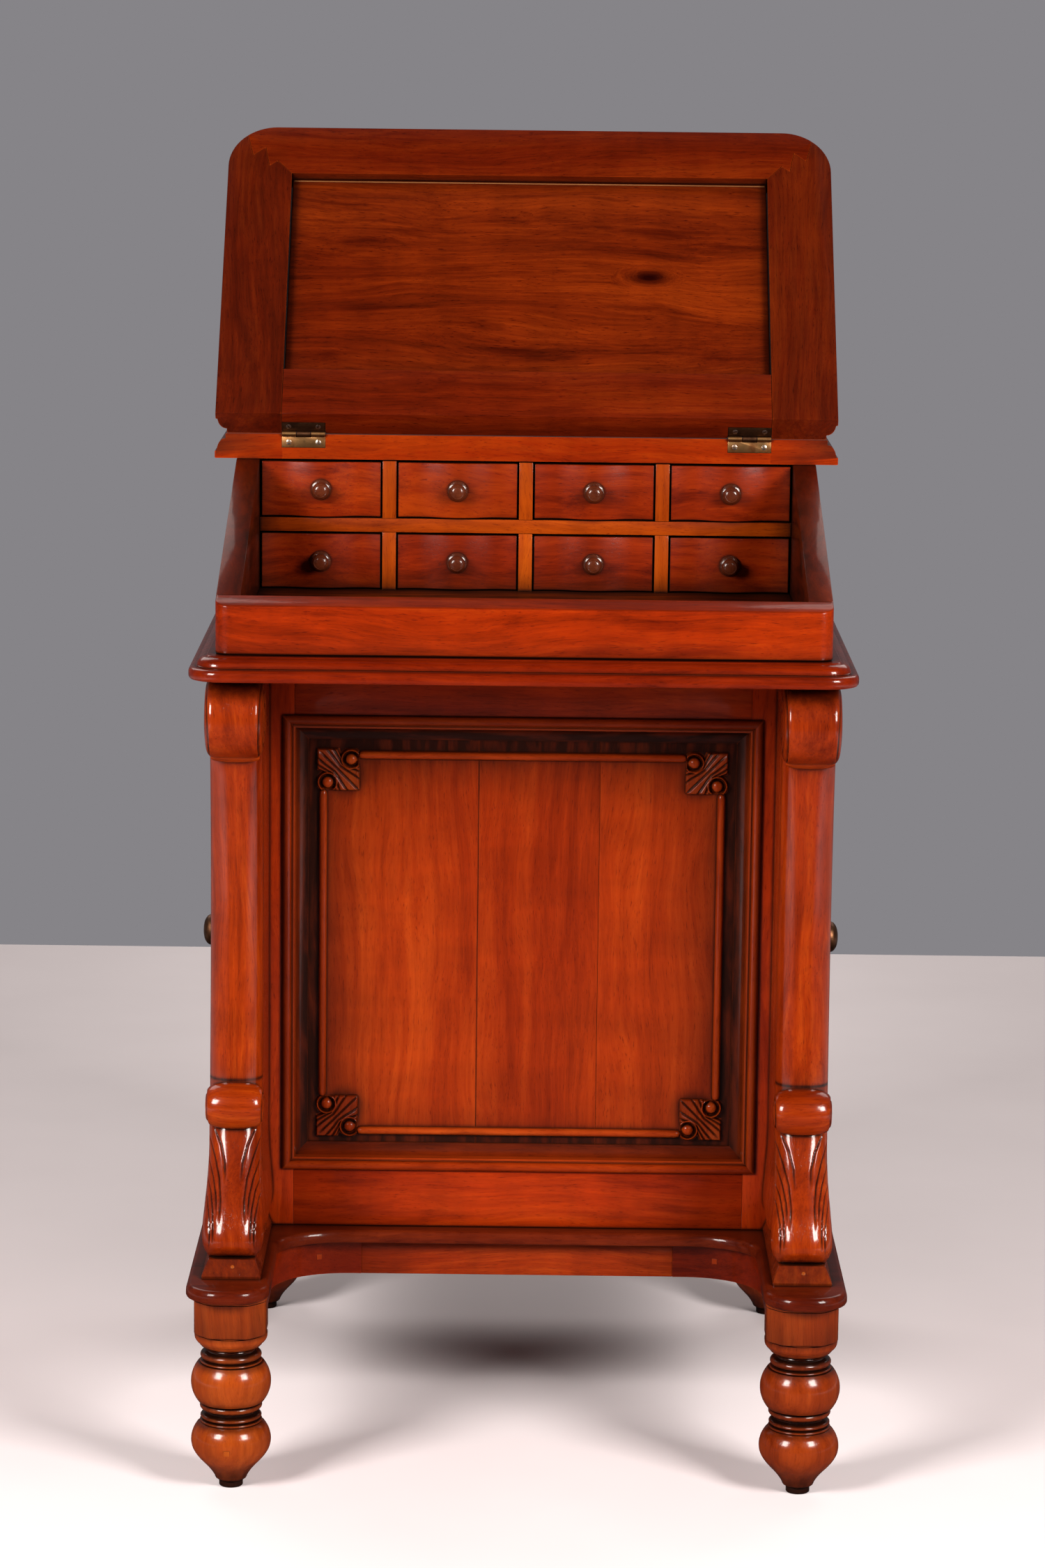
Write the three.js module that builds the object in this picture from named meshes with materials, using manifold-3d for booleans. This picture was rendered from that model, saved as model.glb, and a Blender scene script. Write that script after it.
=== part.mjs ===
// Davenport desk in mahogany, standing open: a sloping lid with an inset writing leather, hinged to a
// fixed top board, over a box with two rows of four small drawers. The box sits on a moulded ledge,
// carried by a panelled pedestal with a door on each side and by two scrolled pillars, which stand on
// the ears of a hollow-fronted platform with four turned feet.
// Millimetres. X runs to the right, -Y to the front, Z up from the floor, with the origin midway
// between the sides and between the front and the back of the platform.

import * as THREE from 'three';
import { mergeVertices } from 'three/addons/utils/BufferGeometryUtils.js';
import Module from 'manifold-3d';

const wasm = await Module();
wasm.setup();

// Clearances and cutting
const seatGap = 0.3;
const slideGap = 0.3;
const overrun = 12;
const weldDistance = 1e-4;
const curveSteps = 4;
const mitreLimitShare = 0.5;
const mouldingRoomShare = 1.15;

// Turned feet
const footHeight = 166.4;
const footSideInset = 36.5;
const footFrontInset = 42;
const footRearInset = 38;
const footBlockWidth = 61;
const footBlockHeight = 33.4;
const footBlockRound = 19;
const footSegments = 14;
const ballSteps = 6;
const ringSteps = 3;
const footShoulderHeight = 14;
const footShoulderRadius = 30;
const footShoulderShares = [[0, 0], [0.2, 0.12], [0.7, 0.45], [1, 0.8]];
const footNeckRadius = 20;
const footBallRadius = 33.2;
const footBallHeight = 33;
const footCollarRadius = 25.6;
const footCollarHeight = 10;
const footCollarShares = [[0, 0], [1, 0.08], [0.95, 0.5], [0, 1]];
const footRingRadius = 25.9;
const footRingHeight = 7;
const footFilletHeight = 2;
const footLowerBallHeight = 15;
const footTaperShares = [
  [0.34, 0], [0.4, 0.06], [0.53, 0.27], [0.66, 0.41], [0.8, 0.56], [0.94, 0.77], [1, 1],
];
const glideRadius = 9.9;
const glideHeight = 6;

// Platform and its apron
const platformWidth = 545;
const platformDepth = 592;
const platformThickness = 11;
const earWidth = 69;
const earRound = 31;
const kneeStraight = 146;
const kneeCurveWidth = 59.5;
const kneeCurveDepth = 43;
const platformRearRound = 14;
const platformNosing = 4;
const nosingShares = [[0.5, 0], [0, 0.3], [0, 0.65], [0.4, 0.9], [1, 1]];
const apronHeight = 30;
const apronThickness = 18;
const apronInset = 5.5;
const apronSideInset = 8.5;
const apronRearInset = 10;
const apronKneeInset = 13;

// Pedestal
const pedestalSideInset = 22.5;
const pedestalHeight = 497;
const pedestalSetback = 17;
const pedestalRearInset = 11;
const frontFrameThickness = 24;
const frontStileWidth = 57;
const frontTopRailHeight = 62.3;
const frontBottomRailHeight = 60;
const frontGrooveDepth = 8;
const frontPanelSink = 11;
const frontPanelThickness = 9;
const mouldingLap = 10.8;
const mouldingRoll = 11.6;
const mouldingCove = 10.9;
const mouldingProud = 4.5;
const mouldingRollShares = [[0, 0.35], [0.2, 0.75], [0.5, 1], [0.8, 0.72], [1, 0.1]];
const mouldingCoveShares = [[0.15, 0.35], [0.5, 0.68], [1, 0.82]];
const beadWidth = 7.2;
const beadProud = 5;
const beadShares = [[0, 0], [0, 0.5], [0.25, 0.87], [0.5, 1], [0.75, 0.87], [1, 0.5], [1, 0]];
const beadInset = 12.2;
const beadTopDrop = 1;
const beadLowDrop = 2;
const carvingSize = 36;
const carvingOutset = 5.2;
const carvingThickness = 4.2;
const carvingEdge = 1.2;
const carvingBallRadius = 5.6;
const carvingBallSegments = 8;
const carvingBallRings = 4;
const carvingLeafShares = [
  [0, 0], [0.66, 0], [0.62, 0.25], [0.82, 0.55], [1, 0.68],
  [1, 1], [0.68, 1], [0.55, 0.82], [0.25, 0.62], [0, 0.66],
];
const carvingBallShares = [[0.25, 0.8], [0.8, 0.25]];
const sideFrameThickness = 24;
const sideRailHeight = 24;
const rearPostDepth = 35.5;
const rearPanelThickness = 18;
const rearPanelEdge = 12;
const rearPanelMargin = 26;
const rearPanelBevel = 30;
const shelfThickness = 16;
const shelfSetback = 0.5;

// Side doors
const doorThickness = 18;
const doorGap = 2;
const doorStileWidth = 46;
const doorRailHeight = 46;
const doorPanelThickness = 12;
const doorPanelEdge = 6;
const doorPanelMargin = 12;
const doorPanelBevel = 26;
const doorPanelSink = 2.5;
const doorGrooveDepth = 8;
const doorGrooveSlack = 1;
const doorKnobRadius = 13.4;
const doorKnobProjection = 23;
const doorKnobSetback = 23;
const doorKnobStemRadius = 5;
const doorKnobFlangeRadius = 8.5;
const doorKnobFlangeHeight = 2.5;
const doorKnobRim = 9;
const doorKnobDomeShares = [0, 0.3, 0.6, 0.85, 1];
const doorKnobSegments = 18;
const doorHingeLength = 50;
const doorHingeInset = 62;

// Butt hinges, the same section for the lid and the doors
const hingeLeafWidth = 12;
const hingeLeafThickness = 1.1;
const hingeLeafGap = 0.6;
const hingeKnuckleRadius = 2.5;
const hingePinRadius = 1.2;
const hingeBoreSlack = 0.25;
const hingeKnuckleGap = 0.4;
const hingeMortiseSlack = 0.2;
const hingePinProud = 0.8;
const hingeSegments = 10;

// Scrolled pillars
const pillarFrontInset = 35.7;
const pillarHalfWidth = 22;
const rollHalfWidth = 24.5;
const rollSetbackShare = 0.67;
const topRollRadius = 34.5;
const lowRollRadius = 19.5;
const lowRollHeight = 134;
const rollSegments = 18;
const rollShares = [[0, 1], [0.62, 0.985], [0.86, 0.93], [0.97, 0.84], [1, 0.72]];
// Height up the pillar, depth of its front, half width and roundness of its front corners, as shares
// of the height, the depth, the half width and the half width
const pillarShares = [
  [0, 0.985, 1.12, 0.1], [0.004, 0.985, 1.12, 0.1], [0.029, 0.93, 0.88, 0.2], [0.031, 0.9, 0.9, 0.3],
  [0.038, 0.955, 1.09, 0.45], [0.054, 0.975, 1.15, 0.6], [0.078, 0.965, 1.14, 0.75],
  [0.11, 0.915, 1.08, 0.8], [0.15, 0.83, 1.02, 0.8], [0.19, 0.75, 0.99, 0.75], [0.23, 0.7, 1, 0.65],
  [0.27, 0.67, 1, 0.6], [0.33, 0.655, 1, 0.6], [0.45, 0.62, 1, 0.6], [0.6, 0.6, 1, 0.6],
  [0.74, 0.61, 1, 0.6], [0.84, 0.64, 1, 0.6], [0.88, 0.67, 1, 0.6], [1, 0.67, 1, 0.6],
];
const pillarCornerSteps = 3;

// Ledge under the box
const ledgeSideOverhang = 22.5;
const ledgeThickness = 19.7;
const ledgeFrontInset = 40;
const ledgeRearInset = 6;
const ledgeRound = 28;
const ledgeRearRound = 18;
const ledgeThumb = 3.2;
const ledgeStep = 5;
const ledgeOvolo = 8;
// Thumb, step and ovolo drawn in, and the height, as shares of their own sizes and the thickness
const ledgeShares = [
  [1, 0, 0, 0], [0, 0, 0, 0.2], [0, 0, 0, 0.4], [0.5, 0, 0, 0.5],
  [0.5, 1, 0, 0.54], [0.5, 1, 0.12, 0.7], [0.5, 1, 0.5, 0.86], [0.5, 1, 0.8, 0.92], [0.5, 1, 1, 1],
];

// Writing box
const boxSideInset = 21.5;
const boxWall = 20;
const boxFrontInset = 22;
const boxRearInset = 15;
const boxFrontHeight = 40.3;
const boxFrontRound = 12;

// Drawer nest
const nestFloorThickness = 16.2;
const nestShelfThickness = 12;
const nestDividerThickness = 12;
const nestOpeningHeight = 50.5;
const nestSetback = 2;
const nestTopGap = 0.6;
const drawerColumnCount = 4;
const drawerRowCount = 2;

// Small drawers
const drawerSideGap = 1.4;
const drawerFaceHeight = 47.6;
const drawerFaceRise = 1;
const drawerFaceThickness = 14;
const drawerFaceSetback = 3;
const drawerBulge = 3.4;
const drawerFaceShares = [[-0.5, 0.15], [-0.31, 0.6], [0, -1], [0.31, 0.6], [0.5, 0.15]];
const drawerFaceSteps = 10;
const drawerRearGap = 4;
const drawerBodyInset = 1;
const drawerBodyHeight = 43;
const drawerWall = 7;
const drawerFloor = 5;
const drawerKnobProjection = 14;
const drawerKnobFlangeRadius = 9;
const drawerKnobFlangeHeight = 2.6;
const drawerKnobNeckRadius = 4.4;
const drawerKnobCapRadius = 6.8;
const drawerKnobCapHeight = 7;
const drawerKnobSegments = 10;
// Radius and height of each member of the turning, as shares of the flange and of the cap
const drawerKnobFlangeShares = [[1, 0], [1, 0.6], [0.8, 1]];
const drawerKnobCapShares = [[1, 0.25], [1, 0.65], [0.8, 0.92], [0, 1]];

// Fixed top board
const boardSideOverhang = 19;
const boardDepth = 242;
const boardThickness = 21;
const boardRearRound = 14;
const coveFillet = 6.4;
const coveStep = 1.8;
const coveInset = 9.4;
const coveTopBand = 4.4;
const coveEase = 0.8;
const coveShares = [0.35, 0.7, 1];

// Lid
const lidSideOverhang = 17.7;
const lidFrontOverhang = 16.5;
const lidThickness = 20;
const lidRound = 43;
const lidJointGap = 1;
const lidLean = THREE.MathUtils.degToRad(40.6);
const lidHingeRail = 46.6;
const lidFrontRail = 52;
const lidStile = 57;
const lidRecess = 9;
const lidPanelThickness = 9.3;
const lidTongueThickness = 5;
const lidGrooveDepth = 8;
const lidGrooveSlack = 1;
const lidLeatherThickness = 1.1;
const lidHingeLength = 37.5;
const lidHingeInset = 75.7;

// Places worked out from the sizes above
const platformUnderside = footHeight + seatGap;
const platformTop = platformUnderside + platformThickness;
const pedestalLow = platformTop + seatGap;
const pedestalHigh = pedestalLow + pedestalHeight;
const ledgeUnderside = pedestalHigh + seatGap;
const ledgeTop = ledgeUnderside + ledgeThickness;
const boxLow = ledgeTop + seatGap;
const nestFloorTop = boxLow + nestFloorThickness;
const nestRowPitch = nestOpeningHeight + nestShelfThickness;
const boxHigh = nestFloorTop + drawerRowCount * nestRowPitch - nestShelfThickness;
const boardUnderside = boxHigh + seatGap;
const boardTop = boardUnderside + boardThickness;

const pedestalWidth = platformWidth - 2 * pedestalSideInset;
const ledgeWidth = pedestalWidth + 2 * ledgeSideOverhang;
const boxWidth = ledgeWidth - 2 * boxSideInset;
const boardWidth = boxWidth + 2 * boardSideOverhang;
const lidWidth = boxWidth + 2 * lidSideOverhang;
const sideOuter = pedestalWidth / 2;

const platformFront = -platformDepth / 2;
const platformRear = platformDepth / 2;
const kneeBack = platformFront + kneeStraight + kneeCurveDepth;
const pedestalFront = kneeBack + pedestalSetback;
const frameBack = pedestalFront + frontFrameThickness;
const pedestalRear = platformRear - pedestalRearInset;
const rearPostFront = pedestalRear - rearPostDepth;
const ledgeFront = platformFront + ledgeFrontInset;
const ledgeRear = platformRear - ledgeRearInset;
const boxFront = ledgeFront + boxFrontInset;
const boxRear = ledgeRear - boxRearInset;
const boardFront = ledgeRear - boardDepth;
const footCentreX = platformWidth / 2 - footSideInset;
const footFrontY = platformFront + footFrontInset;
const footRearY = platformRear - footRearInset;
const earCorner = Math.min(earRound, earWidth / 2 - seatGap);
const pillarDepth = pedestalFront - seatGap - platformFront - pillarFrontInset;
const lidSlope = Math.atan2(boxHigh - boxLow - boxFrontHeight, boardFront - boxFront);
const lidOpening = Math.PI / 2 + lidLean + lidSlope;
const lidLength = (boardFront - lidJointGap - boxFront + lidFrontOverhang) / Math.cos(lidSlope);
const lidHingeCentre = lidWidth / 2 - lidHingeInset;
const sides = [['left', -1], ['right', 1]];

// Finishes
function finish(colour, roughness, metalness = 0) {
  return new THREE.MeshStandardMaterial({ color: colour, roughness, metalness });
}
const mahogany = () => finish('#8a3513', 0.28);
const darkMahogany = () => finish('#6e2810', 0.3);
const turnedKnob = () => finish('#4a1f12', 0.25);
const oakBrown = () => finish('#8f4a1e', 0.5);
const agedBrass = () => finish('#8c6a35', 0.35, 0.9);
const hide = () => finish('#3d1c12', 0.55);

// Solid modelling on closed geometries
function toSolid(geometry) {
  const bare = geometry.clone();
  bare.deleteAttribute('normal');
  bare.deleteAttribute('uv');
  const welded = mergeVertices(bare, weldDistance);
  const corners = [];
  for (let i = 0; i < welded.index.count; i += 3) {
    const [a, b, c] = [0, 1, 2].map((step) => welded.index.getX(i + step));
    if (a !== b && b !== c && c !== a) {
      corners.push(a, b, c);
    }
  }
  return new wasm.Manifold(new wasm.Mesh({
    numProp: 3,
    vertProperties: new Float32Array(welded.attributes.position.array),
    triVerts: new Uint32Array(corners),
  }));
}

function toGeometry(body) {
  const mesh = body.getMesh();
  const geometry = new THREE.BufferGeometry();
  geometry.setAttribute('position', new THREE.BufferAttribute(new Float32Array(mesh.vertProperties), 3));
  geometry.setIndex([...mesh.triVerts]);
  return geometry;
}

function welded(shape) {
  return toGeometry(toSolid(shape));
}

function join(...shapes) {
  return toGeometry(shapes.map(toSolid).reduce((whole, part) => whole.add(part)));
}

function cut(shape, ...tools) {
  return toGeometry(tools.map(toSolid).reduce((whole, tool) => whole.subtract(tool), toSolid(shape)));
}

function common(shape, tool) {
  return toGeometry(toSolid(shape).intersect(toSolid(tool)));
}

// A closed body from its points and triangles, turned so that its faces look outwards
function closedBody(points, faces) {
  const vertices = points.map(([x, y, z]) => new THREE.Vector3(x, y, z));
  const volume = faces.reduce((sum, [a, b, c]) => {
    return sum + vertices[a].dot(new THREE.Vector3().crossVectors(vertices[b], vertices[c]));
  }, 0);
  const order = volume < 0 ? ([a, b, c]) => [a, c, b] : (face) => face;
  const geometry = new THREE.BufferGeometry();
  geometry.setAttribute('position', new THREE.Float32BufferAttribute(points.flat(), 3));
  geometry.setIndex(faces.map(order).flat());
  return geometry;
}

// Rings of equal count joined one to the next, with both ends capped
function lofted(rings) {
  const count = rings[0].length;
  const faces = [];
  for (let ring = 0; ring + 1 < rings.length; ring += 1) {
    for (let i = 0; i < count; i += 1) {
      const next = (i + 1) % count;
      const [a, b] = [ring * count + i, ring * count + next];
      faces.push([a, b, b + count], [a, b + count, a + count]);
    }
  }
  const flat = (ring) => ring.map(([x, y]) => new THREE.Vector2(x, y));
  const last = (rings.length - 1) * count;
  THREE.ShapeUtils.triangulateShape(flat(rings[0]), []).forEach(([a, b, c]) => faces.push([a, c, b]));
  THREE.ShapeUtils.triangulateShape(flat(rings.at(-1)), []).forEach(([a, b, c]) => {
    faces.push([a + last, b + last, c + last]);
  });
  return closedBody(rings.flat(), faces);
}

function outlineOf(shape) {
  const points = shape.getPoints(curveSteps);
  const outline = points.filter((point, i) => {
    return point.distanceTo(points[(i + 1) % points.length]) > weldDistance;
  });
  return THREE.ShapeUtils.isClockWise(outline) ? outline.reverse() : outline;
}

// The outline drawn in by a distance, each corner along its mitre
function drawnIn(outline, inset) {
  return outline.map((point, i) => {
    const before = outline[(i + outline.length - 1) % outline.length];
    const after = outline[(i + 1) % outline.length];
    const arriving = point.clone().sub(before).normalize();
    const leaving = after.clone().sub(point).normalize();
    const mitre = new THREE.Vector2(-arriving.y - leaving.y, arriving.x + leaving.x).normalize();
    const share = Math.max(mitre.dot(new THREE.Vector2(-arriving.y, arriving.x)), mitreLimitShare);
    return point.clone().addScaledVector(mitre, inset / share);
  });
}

// A corner radius, never so small that the moulding would close it up
function roundFor(radius, moulding) {
  return Math.max(radius, mouldingRoomShare * Math.max(...moulding.map(([inset]) => inset)));
}

// A board whose edge follows a moulding: pairs of inset and height, from the underside up
function mouldedBoard(shape, moulding) {
  const outline = outlineOf(shape);
  return lofted(moulding.map(([inset, height]) => {
    return drawnIn(outline, inset).map(({ x, y }) => [x, y, height]);
  }));
}

// A moulding mitred round a rectangle in the XZ plane: pairs of inset from its outer edge and
// projection to the front
function mitredFrame(profile, halfWidth, low, high) {
  const rings = profile.map(([inset, proud]) => {
    const [x, bottom, top] = [halfWidth - inset, low + inset, high - inset];
    return [[-x, bottom], [x, bottom], [x, top], [-x, top]].map(([across, up]) => [across, -proud, up]);
  });
  const corners = rings[0].length;
  const faces = [];
  for (let ring = 0; ring < profile.length; ring += 1) {
    const after = (ring + 1) % profile.length;
    for (let i = 0; i < corners; i += 1) {
      const next = (i + 1) % corners;
      const [a, b] = [ring * corners + i, ring * corners + next];
      const [c, d] = [after * corners + next, after * corners + i];
      faces.push([a, b, c], [a, c, d]);
    }
  }
  return closedBody(rings.flat(), faces);
}

function span(xs, ys, zs) {
  const sorted = [xs, ys, zs].map((pair) => [Math.min(...pair), Math.max(...pair)]);
  const [width, depth, height] = sorted.map(([low, high]) => high - low);
  const [x, y, z] = sorted.map(([low, high]) => (low + high) / 2);
  return new THREE.BoxGeometry(width, depth, height).translate(x, y, z);
}

function prism(shape, low, high) {
  const options = { depth: high - low, bevelEnabled: false, curveSegments: curveSteps };
  return new THREE.ExtrudeGeometry(shape, options).translate(0, 0, low);
}

// A shape drawn in the YZ plane and run along X between two places
function alongX(shape, xs) {
  const [low, high] = [Math.min(...xs), Math.max(...xs)];
  const options = { depth: high - low, bevelEnabled: false, curveSegments: curveSteps };
  const basis = new THREE.Matrix4().makeBasis(
    new THREE.Vector3(0, 1, 0),
    new THREE.Vector3(0, 0, 1),
    new THREE.Vector3(1, 0, 0),
  );
  return new THREE.ExtrudeGeometry(shape, options).applyMatrix4(basis).translate(low, 0, 0);
}

function polygon(points) {
  return new THREE.Shape(points.map(([x, y]) => new THREE.Vector2(x, y)));
}

function rectangle(xs, ys) {
  return polygon([[xs[0], ys[0]], [xs[1], ys[0]], [xs[1], ys[1]], [xs[0], ys[1]]]);
}

// A rectangle with its own corner radius at the front (low Y) and at the back
function roundedRectangle(width, front, rear, frontRound, rearRound) {
  const x = width / 2;
  const shape = new THREE.Shape();
  shape.moveTo(-x + frontRound, front);
  shape.lineTo(x - frontRound, front);
  shape.absarc(x - frontRound, front + frontRound, frontRound, -Math.PI / 2, 0);
  shape.lineTo(x, rear - rearRound);
  shape.absarc(x - rearRound, rear - rearRound, rearRound, 0, Math.PI / 2);
  shape.lineTo(-x + rearRound, rear);
  shape.absarc(-x + rearRound, rear - rearRound, rearRound, Math.PI / 2, Math.PI);
  shape.lineTo(-x, front + frontRound);
  shape.absarc(-x + frontRound, front + frontRound, frontRound, Math.PI, Math.PI * 1.5);
  return shape;
}

// Turned work: pairs of radius and height on the axis, which stands along Z
function turned(profile, segments) {
  const points = profile.map(([radius, height]) => new THREE.Vector2(radius, height));
  return new THREE.LatheGeometry(points, segments).rotateX(Math.PI / 2);
}

// A round member of a turning, from the neck radius out to the full radius and back
function roundMember(low, height, neck, full, steps) {
  return Array.from({ length: steps + 1 }, (_, i) => {
    const turn = (Math.PI * i) / steps;
    return [neck + (full - neck) * Math.sin(turn), low + (height * (1 - Math.cos(turn))) / 2];
  });
}

function rodAlongX(radius, xs, segments) {
  const [low, high] = [Math.min(...xs), Math.max(...xs)];
  const rod = new THREE.CylinderGeometry(radius, radius, high - low, segments);
  return rod.rotateZ(Math.PI / 2).translate((low + high) / 2, 0, 0);
}

const desk = new THREE.Group();

function add(name, geometry, material, parent = desk) {
  geometry.computeVertexNormals();
  const mesh = new THREE.Mesh(geometry, material);
  mesh.name = name;
  parent.add(mesh);
  return mesh;
}

// Feet: a rounded square block, two balls with rings between them, a tapering toe and a glide
function footProfile() {
  const blockLow = footHeight - footBlockHeight;
  const shoulderLow = blockLow - footShoulderHeight;
  const collarHigh = shoulderLow - footFilletHeight;
  const collarLow = collarHigh - footCollarHeight;
  const ballLow = collarLow - footBallHeight;
  const ringLow = ballLow - footRingHeight;
  const lowerCollarLow = ringLow - footFilletHeight - footCollarHeight;
  const equator = lowerCollarLow - footLowerBallHeight;
  const collarReach = footCollarRadius - footNeckRadius;
  const collar = (low) => footCollarShares.map(([radiusShare, heightShare]) => {
    return [footNeckRadius + collarReach * radiusShare, low + footCollarHeight * heightShare];
  });
  const taper = footTaperShares.map(([radiusShare, heightShare]) => {
    return [footBallRadius * radiusShare, glideHeight + (equator - glideHeight) * heightShare];
  });
  const lowerBall = roundMember(
    equator - footLowerBallHeight, 2 * footLowerBallHeight, footNeckRadius, footBallRadius, ballSteps,
  );
  return [
    [0, 0],
    [glideRadius, 0],
    [glideRadius, glideHeight],
    ...taper,
    ...lowerBall.slice(ballSteps / 2 + 1),
    ...collar(lowerCollarLow),
    ...roundMember(ringLow, footRingHeight, footNeckRadius, footRingRadius, ringSteps),
    ...roundMember(ballLow, footBallHeight, footNeckRadius, footBallRadius, ballSteps),
    ...collar(collarLow),
    ...footShoulderShares.map(([radiusShare, heightShare]) => [
      footNeckRadius + (footShoulderRadius - footNeckRadius) * radiusShare,
      shoulderLow + footShoulderHeight * heightShare,
    ]),
    [footShoulderRadius, blockLow + footFilletHeight],
    [0, blockLow + footFilletHeight],
  ];
}

function buildFeet() {
  const half = footBlockWidth / 2;
  const block = roundedRectangle(footBlockWidth, -half, half, footBlockRound, footBlockRound);
  const foot = join(
    turned(footProfile(), footSegments),
    prism(block, footHeight - footBlockHeight, footHeight),
  );
  for (const [end, y] of [['front', footFrontY], ['rear', footRearY]]) {
    for (const [side, sign] of sides) {
      add(`foot_${end}_${side}`, foot.clone(), mahogany()).position.set(sign * footCentreX, y, 0);
    }
  }
}

// The hollow front of the platform, from the left ear round the knee space to the right ear
function kneeOutline(shape, inset, backInset, earFront) {
  const ear = platformWidth / 2 - earWidth + inset;
  const curveStart = platformFront + kneeStraight;
  const radiusX = kneeCurveWidth + inset;
  const radiusY = kneeCurveDepth + backInset;
  const flat = ear - radiusX;
  shape.lineTo(-ear, earFront);
  shape.lineTo(-ear, curveStart);
  shape.absellipse(-flat, curveStart, radiusX, radiusY, Math.PI, Math.PI / 2, true);
  shape.lineTo(flat, curveStart + radiusY);
  shape.absellipse(flat, curveStart, radiusX, radiusY, Math.PI / 2, 0, true);
  shape.lineTo(ear, earFront);
}

function buildPlatform() {
  const x = platformWidth / 2;
  const ear = x - earWidth;
  const shape = new THREE.Shape();
  shape.moveTo(-x, platformFront + earCorner);
  shape.absarc(-x + earCorner, platformFront + earCorner, earCorner, Math.PI, Math.PI * 1.5);
  shape.lineTo(-ear - earCorner, platformFront);
  shape.absarc(-ear - earCorner, platformFront + earCorner, earCorner, -Math.PI / 2, 0);
  kneeOutline(shape, 0, 0, platformFront + earCorner);
  shape.absarc(ear + earCorner, platformFront + earCorner, earCorner, Math.PI, Math.PI * 1.5);
  shape.lineTo(x - earCorner, platformFront);
  shape.absarc(x - earCorner, platformFront + earCorner, earCorner, -Math.PI / 2, 0);
  const [round, rearCentre] = [platformRearRound, platformRear - platformRearRound];
  shape.lineTo(x, rearCentre);
  shape.absarc(x - round, rearCentre, round, 0, Math.PI / 2);
  shape.lineTo(-x + round, platformRear);
  shape.absarc(-x + round, rearCentre, round, Math.PI / 2, Math.PI);
  const board = mouldedBoard(shape, nosingShares.map(([insetShare, heightShare]) => {
    return [platformNosing * insetShare, platformThickness * heightShare];
  }));
  add('platform_board', board, mahogany()).position.z = platformUnderside;
}

// One glued-up frame of rails and corner blocks, which passes inside the rear feet
function buildApron() {
  const side = platformWidth / 2 - apronSideInset;
  const footFrontEdge = footFrontY + footBlockWidth / 2 + seatGap;
  const footRearEdge = footRearY - footBlockWidth / 2 - seatGap;
  const footInner = footCentreX - footBlockWidth / 2 - seatGap;
  const rear = platformRear - apronRearInset;
  const shape = new THREE.Shape();
  shape.moveTo(-side, footFrontEdge);
  kneeOutline(shape, apronInset, apronKneeInset, footFrontEdge);
  shape.lineTo(side, footFrontEdge);
  shape.lineTo(side, footRearEdge);
  shape.lineTo(footInner, footRearEdge);
  shape.lineTo(footInner, rear);
  shape.lineTo(-footInner, rear);
  shape.lineTo(-footInner, footRearEdge);
  shape.lineTo(-side, footRearEdge);
  const railBack = kneeBack + apronKneeInset + apronThickness;
  const inner = side - apronThickness;
  const blockInner = footInner - apronThickness;
  const blockFront = footRearEdge - apronThickness;
  shape.holes.push(new THREE.Path([
    [-inner, railBack], [inner, railBack], [inner, blockFront], [blockInner, blockFront],
    [blockInner, rear - apronThickness], [-blockInner, rear - apronThickness], [-blockInner, blockFront],
    [-inner, blockFront],
  ].map(([x, y]) => new THREE.Vector2(x, y))));
  add('platform_apron', welded(prism(shape, footHeight - apronHeight, footHeight)), mahogany());
}

// Scrolled pillars: a column with a cabriole knee below and a roll at each end of the column
function roll(radius, height) {
  const half = rollShares.map(([radiusShare, widthShare]) => {
    return [radius * radiusShare, rollHalfWidth * widthShare];
  });
  const profile = [...half.map(([r, h]) => [r, -h]), ...half.toReversed()];
  const shape = turned(profile, rollSegments).rotateY(Math.PI / 2);
  return shape.translate(0, -pillarDepth * rollSetbackShare, height);
}

function pillarRing([heightShare, frontShare, widthShare, roundShare]) {
  const front = -pillarDepth * frontShare;
  const half = pillarHalfWidth * widthShare;
  const round = pillarHalfWidth * roundShare;
  const ring = [];
  for (let i = 0; i <= pillarCornerSteps; i += 1) {
    const turn = (Math.PI * i) / pillarCornerSteps / 2;
    ring.push([-half + round * (1 - Math.sin(Math.PI / 2 - turn)), front + round * (1 - Math.sin(turn))]);
  }
  const right = ring.toReversed().map(([x, y]) => [-x, y]);
  return [...ring, ...right, [half, 0], [-half, 0]].map(([x, y]) => [x, y, pedestalHeight * heightShare]);
}

function buildPillars() {
  const pillar = join(
    lofted(pillarShares.map(pillarRing)),
    roll(topRollRadius, pedestalHeight - topRollRadius),
    roll(lowRollRadius, lowRollHeight),
  );
  for (const [side, sign] of sides) {
    const mesh = add(`pillar_${side}`, pillar.clone(), mahogany());
    mesh.position.set(sign * footCentreX, pedestalFront - seatGap, pedestalLow);
  }
}

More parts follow.
